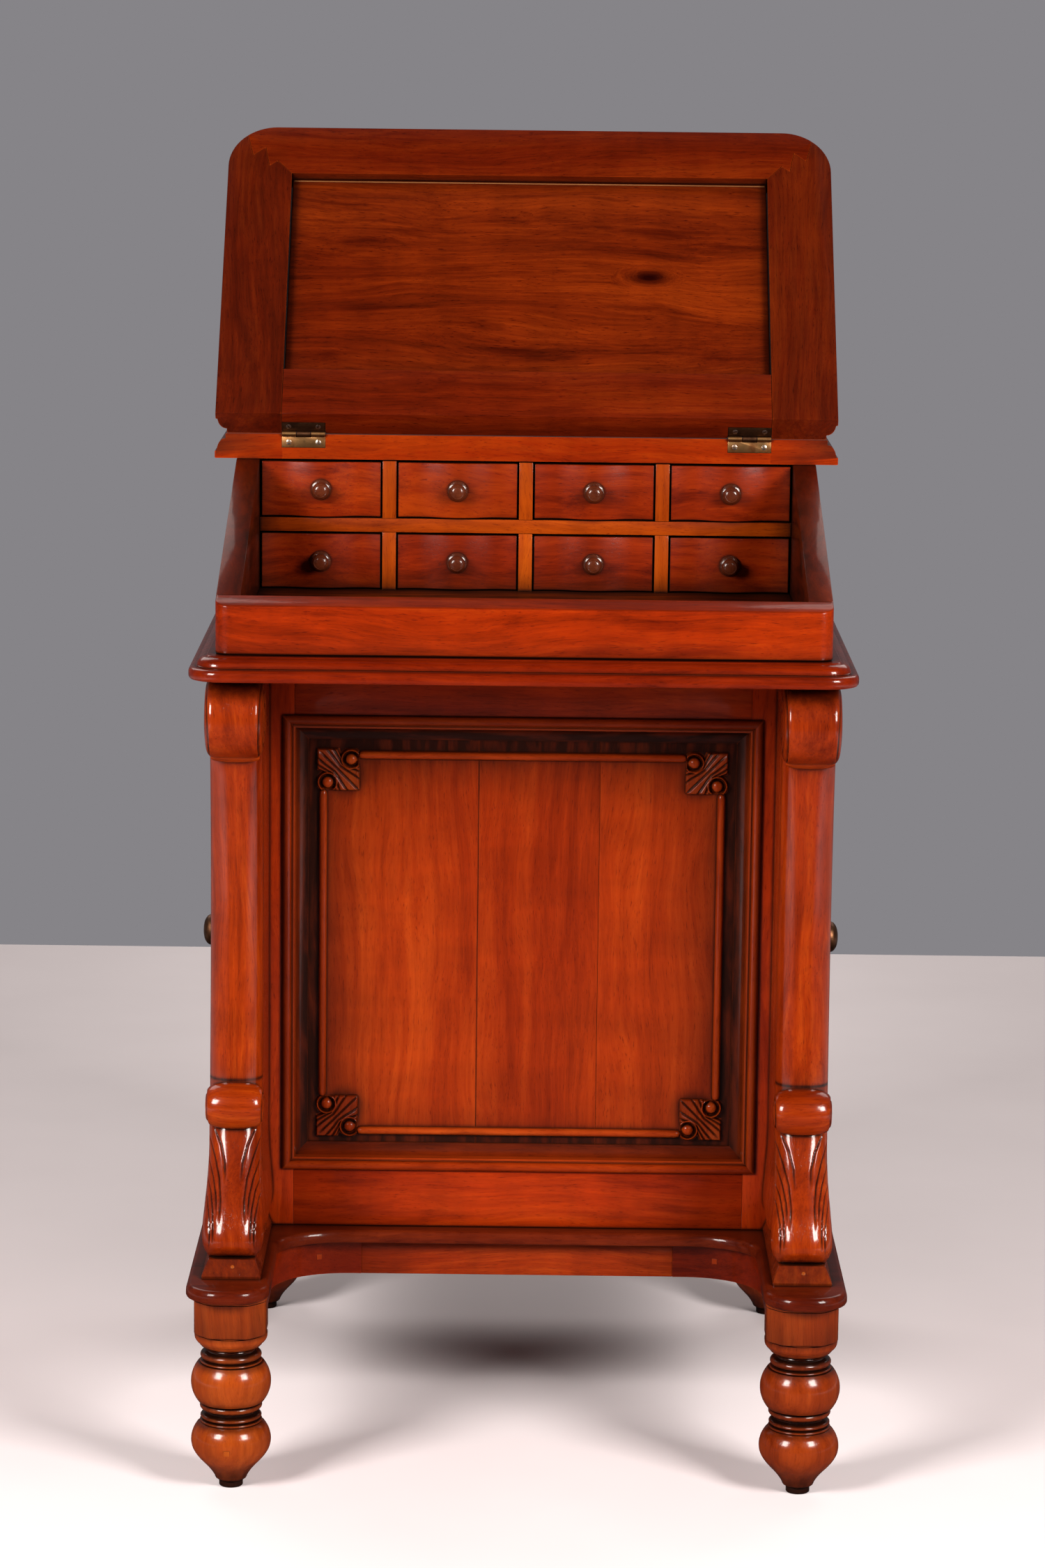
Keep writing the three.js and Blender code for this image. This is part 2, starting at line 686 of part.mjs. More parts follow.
// Front of the pedestal: a grooved frame, a panel, a bolection moulding, and a bead with carved corners
function buildFront() {
  const openingHalf = sideOuter - frontStileWidth;
  const openingLow = pedestalLow + frontBottomRailHeight;
  const openingHigh = pedestalHigh - frontTopRailHeight;
  const panelFace = pedestalFront + frontPanelSink;
  const panelBack = panelFace + frontPanelThickness;
  const around = (grow, ys) => {
    return span([-openingHalf - grow, openingHalf + grow], ys, [openingLow - grow, openingHigh + grow]);
  };
  const frame = span([-sideOuter, sideOuter], [pedestalFront, frameBack], [pedestalLow, pedestalHigh]);
  const groove = around(frontGrooveDepth, [panelFace - seatGap, panelBack + seatGap]);
  const opening = around(0, [pedestalFront - overrun, frameBack + overrun]);
  add('front_frame', cut(frame, groove, opening), mahogany());
  add('front_panel', around(frontGrooveDepth - seatGap, [panelFace, panelBack]), darkMahogany());

  const lap = mouldingLap;
  const inner = mouldingRoll + mouldingCove;
  const shut = -frontPanelSink + seatGap;
  const mouldingProfile = [
    [0, seatGap],
    ...mouldingRollShares.map(([inset, proud]) => [mouldingRoll * inset, mouldingProud * proud]),
    ...mouldingCoveShares.map(([inset, sink]) => [mouldingRoll + mouldingCove * inset, shut * sink]),
    [inner, shut],
    [lap + seatGap, shut],
    [lap + seatGap, seatGap],
  ];
  const moulding = mitredFrame(mouldingProfile, openingHalf + lap, openingLow - lap, openingHigh + lap);
  add('panel_moulding', welded(moulding), darkMahogany()).position.y = pedestalFront;

  const field = inner - lap + beadInset;
  const beadHalf = openingHalf - field;
  const beadLow = openingLow + field - beadLowDrop;
  const beadHigh = openingHigh - field - beadTopDrop;
  const bead = add('panel_bead', beadWithCarvings(beadHalf, beadLow, beadHigh), mahogany());
  bead.position.y = panelFace - seatGap;
}

function beadWithCarvings(half, low, high) {
  const width = beadWidth / 2;
  const profile = beadShares.map(([insetShare, proudShare]) => {
    return [beadWidth * insetShare, beadProud * proudShare];
  });
  const bead = mitredFrame(profile, half + width, low - width, high + width);
  const parts = [];
  const blanks = [];
  for (const signX of [-1, 1]) {
    for (const [cornerZ, signZ] of [[low, 1], [high, -1]]) {
      const cornerX = signX * (half + carvingOutset);
      const base = cornerZ - signZ * carvingOutset;
      const place = ([a, b]) => [cornerX - signX * carvingSize * a, base + signZ * carvingSize * b];
      const [xEnd, zEnd] = place([carvingBallShares[1][0], carvingBallShares[0][1]]);
      const [xStart, zStart] = [cornerX + signX * overrun, base - signZ * overrun];
      blanks.push(span([xStart, xEnd], [-overrun, overrun], [zStart, zEnd]));
      parts.push(carvedLeaf(carvingLeafShares.map(place)));
      for (const share of carvingBallShares) {
        const [x, z] = place(share);
        const ball = new THREE.SphereGeometry(carvingBallRadius, carvingBallSegments, carvingBallRings);
        const clip = span([x - overrun, x + overrun], [-overrun, 0], [z - overrun, z + overrun]);
        parts.push(common(ball.translate(x, 0, z), clip));
      }
    }
  }
  return join(cut(bead, ...blanks), ...parts);
}

// A leaf drawn in the XZ plane, its face drawn in at the edge
function carvedLeaf(points) {
  const edge = [[0, 0], [0, carvingThickness / 2], [carvingEdge, carvingThickness]];
  const leaf = mouldedBoard(polygon(points), edge);
  const basis = new THREE.Matrix4().makeBasis(
    new THREE.Vector3(1, 0, 0),
    new THREE.Vector3(0, 0, 1),
    new THREE.Vector3(0, -1, 0),
  );
  return leaf.applyMatrix4(basis);
}

// A panel with a raised field: the edge runs in a groove and the field stands up to the thickness
function fieldedPanel(width, height, edge, thickness, margin, bevel) {
  const shape = rectangle([-width / 2, width / 2], [-height / 2, height / 2]);
  return mouldedBoard(shape, [[0, 0], [0, edge], [margin, edge], [margin + bevel, thickness]]);
}

// Carcass: side frames of rails and rear post, the back and the cupboard shelf
function buildCarcass() {
  const front = frameBack + seatGap;
  for (const [side, sign] of sides) {
    const outline = polygon([
      [front, pedestalLow], [pedestalRear, pedestalLow], [pedestalRear, pedestalHigh], [front, pedestalHigh],
      [front, pedestalHigh - sideRailHeight], [rearPostFront, pedestalHigh - sideRailHeight],
      [rearPostFront, pedestalLow + sideRailHeight], [front, pedestalLow + sideRailHeight],
    ]);
    const frame = alongX(outline, [sign * sideOuter, sign * (sideOuter - sideFrameThickness)]);
    add(`side_frame_${side}`, cut(frame, ...doorMortises(sign)), mahogany());
  }
  const backHalf = sideOuter - sideFrameThickness - seatGap;
  const back = fieldedPanel(
    2 * backHalf, pedestalHeight, rearPanelEdge, rearPanelThickness, rearPanelMargin, rearPanelBevel,
  );
  const outward = new THREE.Matrix4().makeBasis(
    new THREE.Vector3(-1, 0, 0),
    new THREE.Vector3(0, 0, 1),
    new THREE.Vector3(0, 1, 0),
  );
  const backMesh = add('rear_panel', welded(back.applyMatrix4(outward)), mahogany());
  const backFace = pedestalRear - rearPanelThickness;
  backMesh.position.set(0, backFace, pedestalLow + pedestalHeight / 2);

  const wide = sideOuter - doorThickness - shelfSetback;
  const shelf = polygon([
    [-wide, front], [wide, front], [wide, rearPostFront - seatGap], [backHalf, rearPostFront - seatGap],
    [backHalf, backFace - seatGap], [-backHalf, backFace - seatGap], [-backHalf, rearPostFront - seatGap],
    [-wide, rearPostFront - seatGap],
  ]);
  const middle = pedestalLow + pedestalHeight / 2;
  add('cupboard_shelf', prism(shelf, middle - shelfThickness / 2, middle + shelfThickness / 2), oakBrown());
}

// Hinge leaves, drawn shut about a pin that lies along X, with the leaves hanging down from it. The
// fixed leaf is on the +Y side and holds the pin and the two outer knuckles.
function hingeLeaf(length, fixed) {
  const side = fixed ? 1 : -1;
  const third = length / 3;
  const xs = [-length / 2, length / 2];
  const [middleHalf, outerStart] = [(third - hingeKnuckleGap) / 2, (third + hingeKnuckleGap) / 2];
  const outer = [[xs[0], -outerStart], [outerStart, xs[1]]];
  const middle = [[-middleHalf, middleHalf]];
  const [own, others] = fixed ? [outer, middle] : [middle, outer];
  const inner = side * (hingeLeafGap / 2);
  const plate = span(xs, [inner, inner + side * hingeLeafThickness], [-hingeLeafWidth, 0]);
  const clear = hingeKnuckleRadius + hingeKnuckleGap;
  const notches = others.map(([low, high]) => {
    return span([low - hingeKnuckleGap, high + hingeKnuckleGap], [-overrun, overrun], [-clear, overrun]);
  });
  const knuckles = own.map((reach) => rodAlongX(hingeKnuckleRadius, reach, hingeSegments));
  const leaf = join(cut(plate, ...notches), ...knuckles);
  if (fixed) {
    return join(leaf, rodAlongX(hingePinRadius, xs, hingeSegments));
  }
  const bore = rodAlongX(hingePinRadius + hingeBoreSlack, [xs[0] - overrun, xs[1] + overrun], hingeSegments);
  return cut(leaf, bore);
}

// The room that both leaves and the knuckle take in the wood on either side of the joint
function hingeMortise(length) {
  const reach = hingeLeafGap / 2 + hingeLeafThickness + hingeMortiseSlack;
  const half = length / 2 + hingeMortiseSlack;
  return join(
    span([-half, half], [-reach, reach], [-hingeLeafWidth - hingeMortiseSlack, hingePinProud + overrun]),
    rodAlongX(hingeKnuckleRadius + hingeKnuckleGap, [-half, half], hingeSegments),
  );
}

// A door hinge stands with its pin upright, just proud of the side of the pedestal
function doorHingePlace(sign, height) {
  const basis = new THREE.Matrix4().makeBasis(
    new THREE.Vector3(0, 0, -sign),
    new THREE.Vector3(0, 1, 0),
    new THREE.Vector3(sign, 0, 0),
  );
  return basis.setPosition(sign * (sideOuter + hingePinProud), rearPostFront - doorGap / 2, height);
}

const doorHingeHeights = [
  ['lower', pedestalLow + sideRailHeight + doorHingeInset],
  ['upper', pedestalHigh - sideRailHeight - doorHingeInset],
];

function doorMortises(sign) {
  return doorHingeHeights.map(([, height]) => {
    return hingeMortise(doorHingeLength).applyMatrix4(doorHingePlace(sign, height));
  });
}

function buildDoors() {
  const [front, rear] = [frameBack + doorGap, rearPostFront - doorGap];
  const [low, high] = [pedestalLow + sideRailHeight + doorGap, pedestalHigh - sideRailHeight - doorGap];
  const [holeFront, holeRear] = [front + doorStileWidth, rear - doorStileWidth];
  const [holeLow, holeHigh] = [low + doorRailHeight, high - doorRailHeight];
  const middle = [(front + rear) / 2, (low + high) / 2];
  for (const [side, sign] of sides) {
    const inside = sign * (sideOuter - doorThickness);
    const panelBack = sideOuter - doorPanelSink - doorPanelThickness;
    const grooveXs = [sign * (panelBack - seatGap), sign * (panelBack + doorPanelEdge + seatGap)];
    const frame = span([inside, sign * sideOuter], [front, rear], [low, high]);
    const hole = span(
      [inside - sign * overrun, sign * (sideOuter + overrun)], [holeFront, holeRear], [holeLow, holeHigh],
    );
    const groove = span(
      grooveXs,
      [holeFront - doorGrooveDepth, holeRear + doorGrooveDepth],
      [holeLow - doorGrooveDepth, holeHigh + doorGrooveDepth],
    );
    add(`door_frame_${side}`, cut(frame, hole, groove, ...doorMortises(sign)), mahogany());

    const tongue = 2 * (doorGrooveDepth - doorGrooveSlack);
    const panel = fieldedPanel(
      holeRear - holeFront + tongue, holeHigh - holeLow + tongue,
      doorPanelEdge, doorPanelThickness, doorPanelMargin, doorPanelBevel,
    );
    const outward = new THREE.Matrix4().makeBasis(
      new THREE.Vector3(0, sign, 0),
      new THREE.Vector3(0, 0, 1),
      new THREE.Vector3(sign, 0, 0),
    );
    const panelMesh = add(`door_panel_${side}`, welded(panel.applyMatrix4(outward)), darkMahogany());
    panelMesh.position.set(sign * panelBack, ...middle);

    const knob = add(`door_knob_${side}`, doorKnob(), agedBrass());
    knob.rotation.y = (sign * Math.PI) / 2;
    knob.position.set(sign * (sideOuter + seatGap), front + doorKnobSetback, middle[1]);

    for (const [end, height] of doorHingeHeights) {
      const place = doorHingePlace(sign, height);
      for (const [owner, fixed] of [['post', true], ['door', false]]) {
        const leaf = hingeLeaf(doorHingeLength, fixed).applyMatrix4(place);
        add(`door_hinge_${side}_${end}_${owner}_leaf`, leaf, agedBrass());
      }
    }
  }
}

function doorKnob() {
  const domeLow = doorKnobProjection - doorKnobRim;
  const dome = doorKnobDomeShares.map((share) => {
    const turn = (Math.PI / 2) * (1 - share);
    return [doorKnobRadius * Math.sin(turn), domeLow + doorKnobRim * Math.cos(turn)];
  });
  return turned([
    [0, 0], [doorKnobFlangeRadius, 0], [doorKnobFlangeRadius, doorKnobFlangeHeight],
    [doorKnobStemRadius, 2 * doorKnobFlangeHeight], [doorKnobStemRadius, domeLow - doorKnobFlangeHeight],
    ...dome,
  ], doorKnobSegments);
}

// Ledge: a lower thumb moulding, a step and an ovolo, from the underside up
function buildLedge() {
  const moulding = ledgeShares.map(([thumb, step, ovolo, height]) => {
    return [ledgeThumb * thumb + ledgeStep * step + ledgeOvolo * ovolo, ledgeThickness * height];
  });
  const [frontRound, rearRound] = [ledgeRound, ledgeRearRound].map((radius) => roundFor(radius, moulding));
  const shape = roundedRectangle(ledgeWidth, ledgeFront, ledgeRear, frontRound, rearRound);
  add('ledge_board', mouldedBoard(shape, moulding), mahogany()).position.z = ledgeUnderside;
}

// Box: front with rounded corners, two sloping sides and a back
function slopeHeight(y) {
  return boxHigh - (boardFront - y) * Math.tan(lidSlope);
}

function buildBox() {
  const inner = boxWidth / 2 - boxWall;
  const frontBack = boxFront + boxWall;
  const frontProfile = polygon([
    [boxFront, boxLow], [frontBack, boxLow],
    [frontBack, slopeHeight(frontBack)], [boxFront, slopeHeight(boxFront)],
  ]);
  const round = Math.min(boxFrontRound, boxWall - seatGap);
  const plan = roundedRectangle(boxWidth, boxFront, frontBack + 2 * round, round, round);
  const front = common(
    alongX(frontProfile, [-boxWidth / 2, boxWidth / 2]),
    prism(plan, boxLow - overrun, boxHigh + overrun),
  );
  add('box_front', front, mahogany());
  const sideFront = frontBack + seatGap;
  const sideProfile = polygon([
    [sideFront, boxLow], [boxRear, boxLow], [boxRear, boxHigh], [boardFront, boxHigh],
    [sideFront, slopeHeight(sideFront)],
  ]);
  for (const [side, sign] of sides) {
    add(`box_side_${side}`, alongX(sideProfile, [sign * inner, (sign * boxWidth) / 2]), mahogany());
  }
  const backHalf = inner - seatGap;
  add('box_back', span([-backHalf, backHalf], [boxRear - boxWall, boxRear], [boxLow, boxHigh]), mahogany());
}

// Nest: the floor of the box, the shelf between the rows and the upright dividers, glued up as one
const nestHalf = boxWidth / 2 - boxWall - seatGap;
const nestFront = boardFront - nestSetback;
const nestOpening = (2 * nestHalf - (drawerColumnCount - 1) * nestDividerThickness) / drawerColumnCount;
const nestColumnPitch = nestOpening + nestDividerThickness;

function buildNest() {
  const rear = boxRear - boxWall - seatGap;
  const floor = span([-nestHalf, nestHalf], [boxFront + boxWall + seatGap, rear], [boxLow, nestFloorTop]);
  const shelfLow = nestFloorTop + nestOpeningHeight;
  const parts = [span([-nestHalf, nestHalf], [nestFront, rear], [shelfLow, shelfLow + nestShelfThickness])];
  for (let column = 1; column < drawerColumnCount; column += 1) {
    const middle = (column - drawerColumnCount / 2) * nestColumnPitch;
    const half = nestDividerThickness / 2;
    const across = [middle - half, middle + half];
    parts.push(span(across, [nestFront, rear], [nestFloorTop, boxHigh - nestTopGap]));
  }
  add('drawer_nest', join(floor, ...parts), oakBrown());
}

const drawerFaceY = nestFront + drawerFaceSetback - drawerBulge / 2;

// A small drawer, drawn with its face at Y = 0, its middle at X = 0 and its underside at Z = 0
function drawerShape() {
  const width = nestOpening - 2 * drawerSideGap;
  const half = width / 2;
  const line = new THREE.SplineCurve(drawerFaceShares.map(([widthShare, bulgeShare]) => {
    return new THREE.Vector2(width * widthShare, drawerBulge * bulgeShare);
  })).getPoints(drawerFaceSteps);
  const face = new THREE.Shape([
    ...line, new THREE.Vector2(half, drawerFaceThickness), new THREE.Vector2(-half, drawerFaceThickness),
  ]);
  const bodyHalf = half - drawerBodyInset;
  const drawerLength = boxRear - boxWall - drawerRearGap - drawerFaceY;
  const body = span([-bodyHalf, bodyHalf], [drawerFaceThickness / 2, drawerLength], [0, drawerBodyHeight]);
  const hollow = span(
    [drawerWall - bodyHalf, bodyHalf - drawerWall],
    [drawerFaceThickness, drawerLength - drawerWall],
    [drawerFloor, drawerFaceHeight + overrun],
  );
  const front = prism(face, drawerFaceRise - slideGap, drawerFaceRise - slideGap + drawerFaceHeight);
  return cut(join(front, body), hollow);
}

function drawerKnob() {
  const capLow = drawerKnobProjection - drawerKnobCapHeight;
  const members = (shares, radius, low, height) => {
    return shares.map(([radiusShare, heightShare]) => [radius * radiusShare, low + height * heightShare]);
  };
  return turned([
    [0, 0],
    ...members(drawerKnobFlangeShares, drawerKnobFlangeRadius, 0, drawerKnobFlangeHeight),
    [drawerKnobNeckRadius, drawerKnobFlangeHeight],
    [drawerKnobNeckRadius, capLow],
    ...members(drawerKnobCapShares, drawerKnobCapRadius, capLow, drawerKnobCapHeight),
  ], drawerKnobSegments);
}

function buildDrawers() {
  const drawer = drawerShape();
  const knob = drawerKnob();
  const faceMiddle = drawerFaceRise - slideGap + drawerFaceHeight / 2;
  for (let row = 0; row < drawerRowCount; row += 1) {
    const level = ['lower', 'upper'][row] ?? `row${row}`;
    for (let column = 0; column < drawerColumnCount; column += 1) {
      const x = (column - (drawerColumnCount - 1) / 2) * nestColumnPitch;
      const z = nestFloorTop + row * nestRowPitch + slideGap;
      const mesh = add(`drawer_${level}_${column + 1}`, drawer.clone(), mahogany());
      mesh.position.set(x, drawerFaceY, z);
      const knobMesh = add(`drawer_knob_${level}_${column + 1}`, knob.clone(), turnedKnob());
      knobMesh.rotation.x = Math.PI / 2;
      knobMesh.position.set(x, drawerFaceY - drawerBulge - seatGap, z + faceMiddle);
    }
  }
}

// Cove and fillet edge, full width at the underside and drawn in at the top
function coveMoulding(thickness) {
  const coveHigh = thickness - coveTopBand;
  const coveRise = coveHigh - coveFillet;
  const coveRun = coveInset - coveStep;
  const cove = coveShares.map((share) => {
    const turn = (Math.PI / 2) * share;
    return [coveStep + coveRun * (1 - Math.cos(turn)), coveFillet + coveRise * Math.sin(turn)];
  });
  return [
    [coveEase, 0], [0, coveEase], [0, coveFillet], [coveStep, coveFillet + coveEase / 2], ...cove,
    [coveInset, thickness - coveEase], [coveInset + coveEase, thickness],
  ];
}

const pinPlace = [boardFront - lidJointGap / 2, boardTop + hingePinProud];

function lidMortises() {
  return sides.map(([, sign]) => hingeMortise(lidHingeLength).translate(sign * lidHingeCentre, 0, 0));
}

// The board is moulded all round and then cut square at the front, where the lid meets it
function buildBoard() {
  const moulding = coveMoulding(boardThickness);
  const round = roundFor(boardRearRound, moulding);
  const shape = roundedRectangle(boardWidth, boardFront - 2 * round, ledgeRear, round, round);
  const blank = mouldedBoard(shape, moulding).translate(0, 0, boardUnderside);
  const front = span(
    [-boardWidth, boardWidth], [boardFront - boardDepth, boardFront],
    [boardUnderside - overrun, boardTop + overrun],
  );
  const mortises = lidMortises().map((mortise) => mortise.translate(0, ...pinPlace));
  add('fixed_top_board', cut(blank, front, ...mortises), mahogany());
}

// Lid: everything hangs in a group at the hinge pin. Inside it, the slab group lies along the slope,
// with Y down the slope and Z out of the inner face.
function buildLid() {
  const lid = new THREE.Group();
  lid.position.set(0, ...pinPlace);
  lid.rotation.x = -lidOpening;
  desk.add(lid);
  const slab = new THREE.Group();
  slab.rotation.x = Math.PI + lidSlope;
  lid.add(slab);
  const toSlab = new THREE.Matrix4().makeRotationX(-Math.PI - lidSlope);

  const drop = [boardFront - pinPlace[0], boxHigh - pinPlace[1]];
  const seat = drop[0] * Math.sin(lidSlope) - drop[1] * Math.cos(lidSlope);
  const inner = seat - seatGap;
  const outer = inner - lidThickness;
  const start = (lidJointGap / 2 + inner * Math.sin(lidSlope)) / Math.cos(lidSlope);
  const end = start + lidLength;

  const moulding = coveMoulding(lidThickness).map(([inset, height]) => [inset, inner - height]);
  const round = roundFor(lidRound, moulding);
  const outline = roundedRectangle(lidWidth, -2 * round, end, round, round);
  const blank = mouldedBoard(outline, moulding);
  const jointFace = span(
    [-lidWidth, lidWidth], [-lidJointGap / 2, lidLength], [-lidLength, lidLength],
  ).applyMatrix4(toSlab);

  const half = lidWidth / 2 - lidStile;
  const holeYs = [start + lidHingeRail, end - lidFrontRail];
  const panelFace = inner - lidRecess;
  const tongueHigh = panelFace - (lidPanelThickness - lidTongueThickness) / 2;
  const tongueZs = [tongueHigh - lidTongueThickness, tongueHigh];
  const around = (grow, zs) => span([-half - grow, half + grow], [holeYs[0] - grow, holeYs[1] + grow], zs);
  const hole = around(0, [outer - overrun, inner + overrun]);
  const groove = around(lidGrooveDepth, [tongueZs[0] - seatGap, tongueZs[1] + seatGap]);
  const mortises = lidMortises().map((mortise) => mortise.applyMatrix4(toSlab));
  add('lid_frame', cut(blank, jointFace, hole, groove, ...mortises), mahogany(), slab);

  const panelBack = panelFace - lidPanelThickness;
  const panel = join(
    around(-seatGap, [panelBack, panelFace]),
    around(lidGrooveDepth - lidGrooveSlack, tongueZs),
  );
  add('lid_panel', panel, darkMahogany(), slab);
  const leatherTop = panelBack - seatGap;
  add('lid_leather', around(-seatGap, [leatherTop - lidLeatherThickness, leatherTop]), hide(), slab);

  for (const [side, sign] of sides) {
    const x = sign * lidHingeCentre;
    add(`lid_hinge_${side}_lid_leaf`, hingeLeaf(lidHingeLength, false), agedBrass(), lid).position.x = x;
    const fixedLeaf = add(`lid_hinge_${side}_board_leaf`, hingeLeaf(lidHingeLength, true), agedBrass());
    fixedLeaf.position.set(x, ...pinPlace);
  }
}

buildFeet();
buildPlatform();
buildApron();
buildPillars();
buildFront();
buildCarcass();
buildDoors();
buildLedge();
buildBox();
buildNest();
buildDrawers();
buildBoard();
buildLid();

export default desk;
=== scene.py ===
import math
import random

import bmesh
import bpy
from mathutils import Matrix, Vector


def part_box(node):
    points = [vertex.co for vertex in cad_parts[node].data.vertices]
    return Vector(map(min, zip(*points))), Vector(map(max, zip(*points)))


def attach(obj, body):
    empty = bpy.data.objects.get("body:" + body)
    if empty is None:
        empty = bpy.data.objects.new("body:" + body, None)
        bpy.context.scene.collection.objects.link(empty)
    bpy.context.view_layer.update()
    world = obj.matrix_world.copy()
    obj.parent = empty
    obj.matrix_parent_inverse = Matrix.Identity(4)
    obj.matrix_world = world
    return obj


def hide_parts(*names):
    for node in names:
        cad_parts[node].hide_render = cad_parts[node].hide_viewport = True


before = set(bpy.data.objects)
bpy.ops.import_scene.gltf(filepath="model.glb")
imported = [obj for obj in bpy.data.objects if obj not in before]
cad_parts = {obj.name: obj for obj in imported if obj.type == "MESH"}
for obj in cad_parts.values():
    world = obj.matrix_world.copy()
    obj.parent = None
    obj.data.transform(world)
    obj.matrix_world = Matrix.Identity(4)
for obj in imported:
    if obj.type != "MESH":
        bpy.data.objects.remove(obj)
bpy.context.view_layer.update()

MM = 0.001
UP, FRONT, SIDE, BACK = (0, 0, 1), (0, -1, 0), (1, 0, 0), (0, 1, 0)
SIDES = (("left", -1), ("right", 1))
chance = random.Random(1875)


# Shapes, in millimetres

class Form:
    """A closed shape: its points in millimetres, its faces, and how dark each point is made, by dark wax and
    by painted shade.
    """

    def __init__(self, points, faces, wax_and_shade=None):
        self.points = [Vector(p) for p in points]
        self.faces = [tuple(f) for f in faces]
        self.wax_and_shade = wax_and_shade or [0.0] * len(self.points)

    def moved(self, matrix):
        made = Form([matrix @ p for p in self.points], self.faces, self.wax_and_shade)
        if matrix.determinant() < 0:
            made.faces = [f[::-1] for f in made.faces]
        return made

    def shifted(self, x=0, y=0, z=0):
        return self.moved(Matrix.Translation((x, y, z)))


def seat(node_name):
    """The space that a node of the frame fills: three pairs, in millimetres."""
    return [(round(low / MM, 3), round(high / MM, 3)) for low, high in zip(*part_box(node_name))]


def axes(x, y, z):
    """The turn that lays a form's own X, Y and Z along three directions."""
    return Matrix((x, y, z)).transposed().to_4x4()


def loft(rings):
    """Rings of equal count joined one to the next, and closed at both ends."""
    count = len(rings[0])
    faces = []
    for level in range(len(rings) - 1):
        low, high = level * count, (level + 1) * count
        for i in range(count):
            j = (i + 1) % count
            faces.append((low + i, low + j, high + j, high + i))
    faces.append(tuple(range(count))[::-1])
    faces.append(tuple(range((len(rings) - 1) * count, len(rings) * count)))
    return Form([p for ring in rings for p in ring], faces)


def turned(profile, segments=64):
    """Turned work about Z, from pairs of radius and height; a radius of 0 closes the form in a point."""
    points, rows = [], []
    for radius, height in profile:
        if radius < 1e-6:
            rows.append([len(points)] * segments)
            points.append((0, 0, height))
        else:
            rows.append(list(range(len(points), len(points) + segments)))
            for i in range(segments):
                turn = 2 * math.pi * i / segments
                points.append((radius * math.cos(turn), radius * math.sin(turn), height))
    faces = []
    for low, high in zip(rows, rows[1:]):
        for i in range(segments):
            j = (i + 1) % segments
            corners = list(dict.fromkeys((low[i], low[j], high[j], high[i])))
            if len(corners) > 2:
                faces.append(tuple(corners))
    if rows[0][0] != rows[0][1]:
        faces.append(tuple(rows[0])[::-1])
    if rows[-1][0] != rows[-1][1]:
        faces.append(tuple(rows[-1]))
    return Form(points, faces)


def block(xs, ys, zs):
    """A squared board between two places on each axis."""
    (x0, x1), (y0, y1), (z0, z1) = (sorted(pair) for pair in (xs, ys, zs))
    ring = [(x0, y0), (x1, y0), (x1, y1), (x0, y1)]
    return loft([[(x, y, z) for x, y in ring] for z in (z0, z1)])


def along_x(outline, xs):
    """An outline in Y and Z, run along X."""
    low, high = sorted(xs)
    area = sum(a[0] * b[1] - b[0] * a[1] for a, b in zip(outline, outline[1:] + outline[:1]))
    ring = outline if area > 0 else outline[::-1]
    return loft([[(x, y, z) for y, z in ring] for x in (low, high)])


def prism(outline, low, high):
    return loft([[(x, y, z) for x, y in outline] for z in (low, high)])


def curve_through(points, steps):
    """A smooth line through the points, as many steps between each pair."""
    line = []
    last = len(points) - 1
    for i in range(last):
        before, start, end, after = (Vector(points[max(0, min(last, k))]) for k in range(i - 1, i + 3))
        for step in range(steps):
            t = step / steps
            line.append(0.5 * (
                2 * start + (end - before) * t
                + (2 * before - 5 * start + 4 * end - after) * t * t
                + (3 * start - before - 3 * end + after) * t ** 3))
    return [tuple(p) for p in line] + [tuple(points[-1])]


def arc(centre, radii, start, end, steps):
    """Points round a quarter or more of an ellipse, angles in degrees."""
    turns = [math.radians(start + (end - start) * i / steps) for i in range(steps + 1)]
    return [(centre[0] + radii[0] * math.cos(t), centre[1] + radii[1] * math.sin(t)) for t in turns]


def rounded(width, front, rear, front_round, rear_round, steps=10):
    """The plan of a board with rounded corners, from the front left corner round to the right."""
    x = width / 2
    return (
        arc((-x + front_round, front + front_round), (front_round,) * 2, 180, 270, steps)
        + arc((x - front_round, front + front_round), (front_round,) * 2, 270, 360, steps)
        + arc((x - rear_round, rear - rear_round), (rear_round,) * 2, 0, 90, steps)
        + arc((-x + rear_round, rear - rear_round), (rear_round,) * 2, 90, 180, steps)
    )


def rectangle(half_width, half_height):
    return [(x * half_width, y * half_height) for x, y in ((-1, -1), (1, -1), (1, 1), (-1, 1))]


def drawn_in(outline, inset):
    """The outline drawn in by a distance, each corner along its mitre."""
    line = [Vector(p) for p in outline]
    made = []
    for i, point in enumerate(line):
        arriving = (point - line[i - 1]).normalized()
        leaving = (line[(i + 1) % len(line)] - point).normalized()
        mitre = Vector((-arriving.y - leaving.y, arriving.x + leaving.x)).normalized()
        share = max(mitre.dot(Vector((-arriving.y, arriving.x))), 0.5)
        made.append(tuple(point + mitre * inset / share))
    return made


def moulded(outline, moulding):
    """A board whose edge follows a moulding: pairs of inset and height, from the underside up."""
    clean = [p for p, q in zip(outline, outline[1:] + outline[:1]) if math.dist(p, q) > 1e-4]
    return loft([[(x, y, height) for x, y in drawn_in(clean, inset)] for inset, height in moulding])


def in_scene(name, data):
    made = bpy.data.objects.new(name, data)
    bpy.context.scene.collection.objects.link(made)
    return made


def scratch(form):
    mesh = bpy.data.meshes.new("scratch")
    mesh.from_pydata(form.points, [], form.faces)
    return in_scene("scratch", mesh)


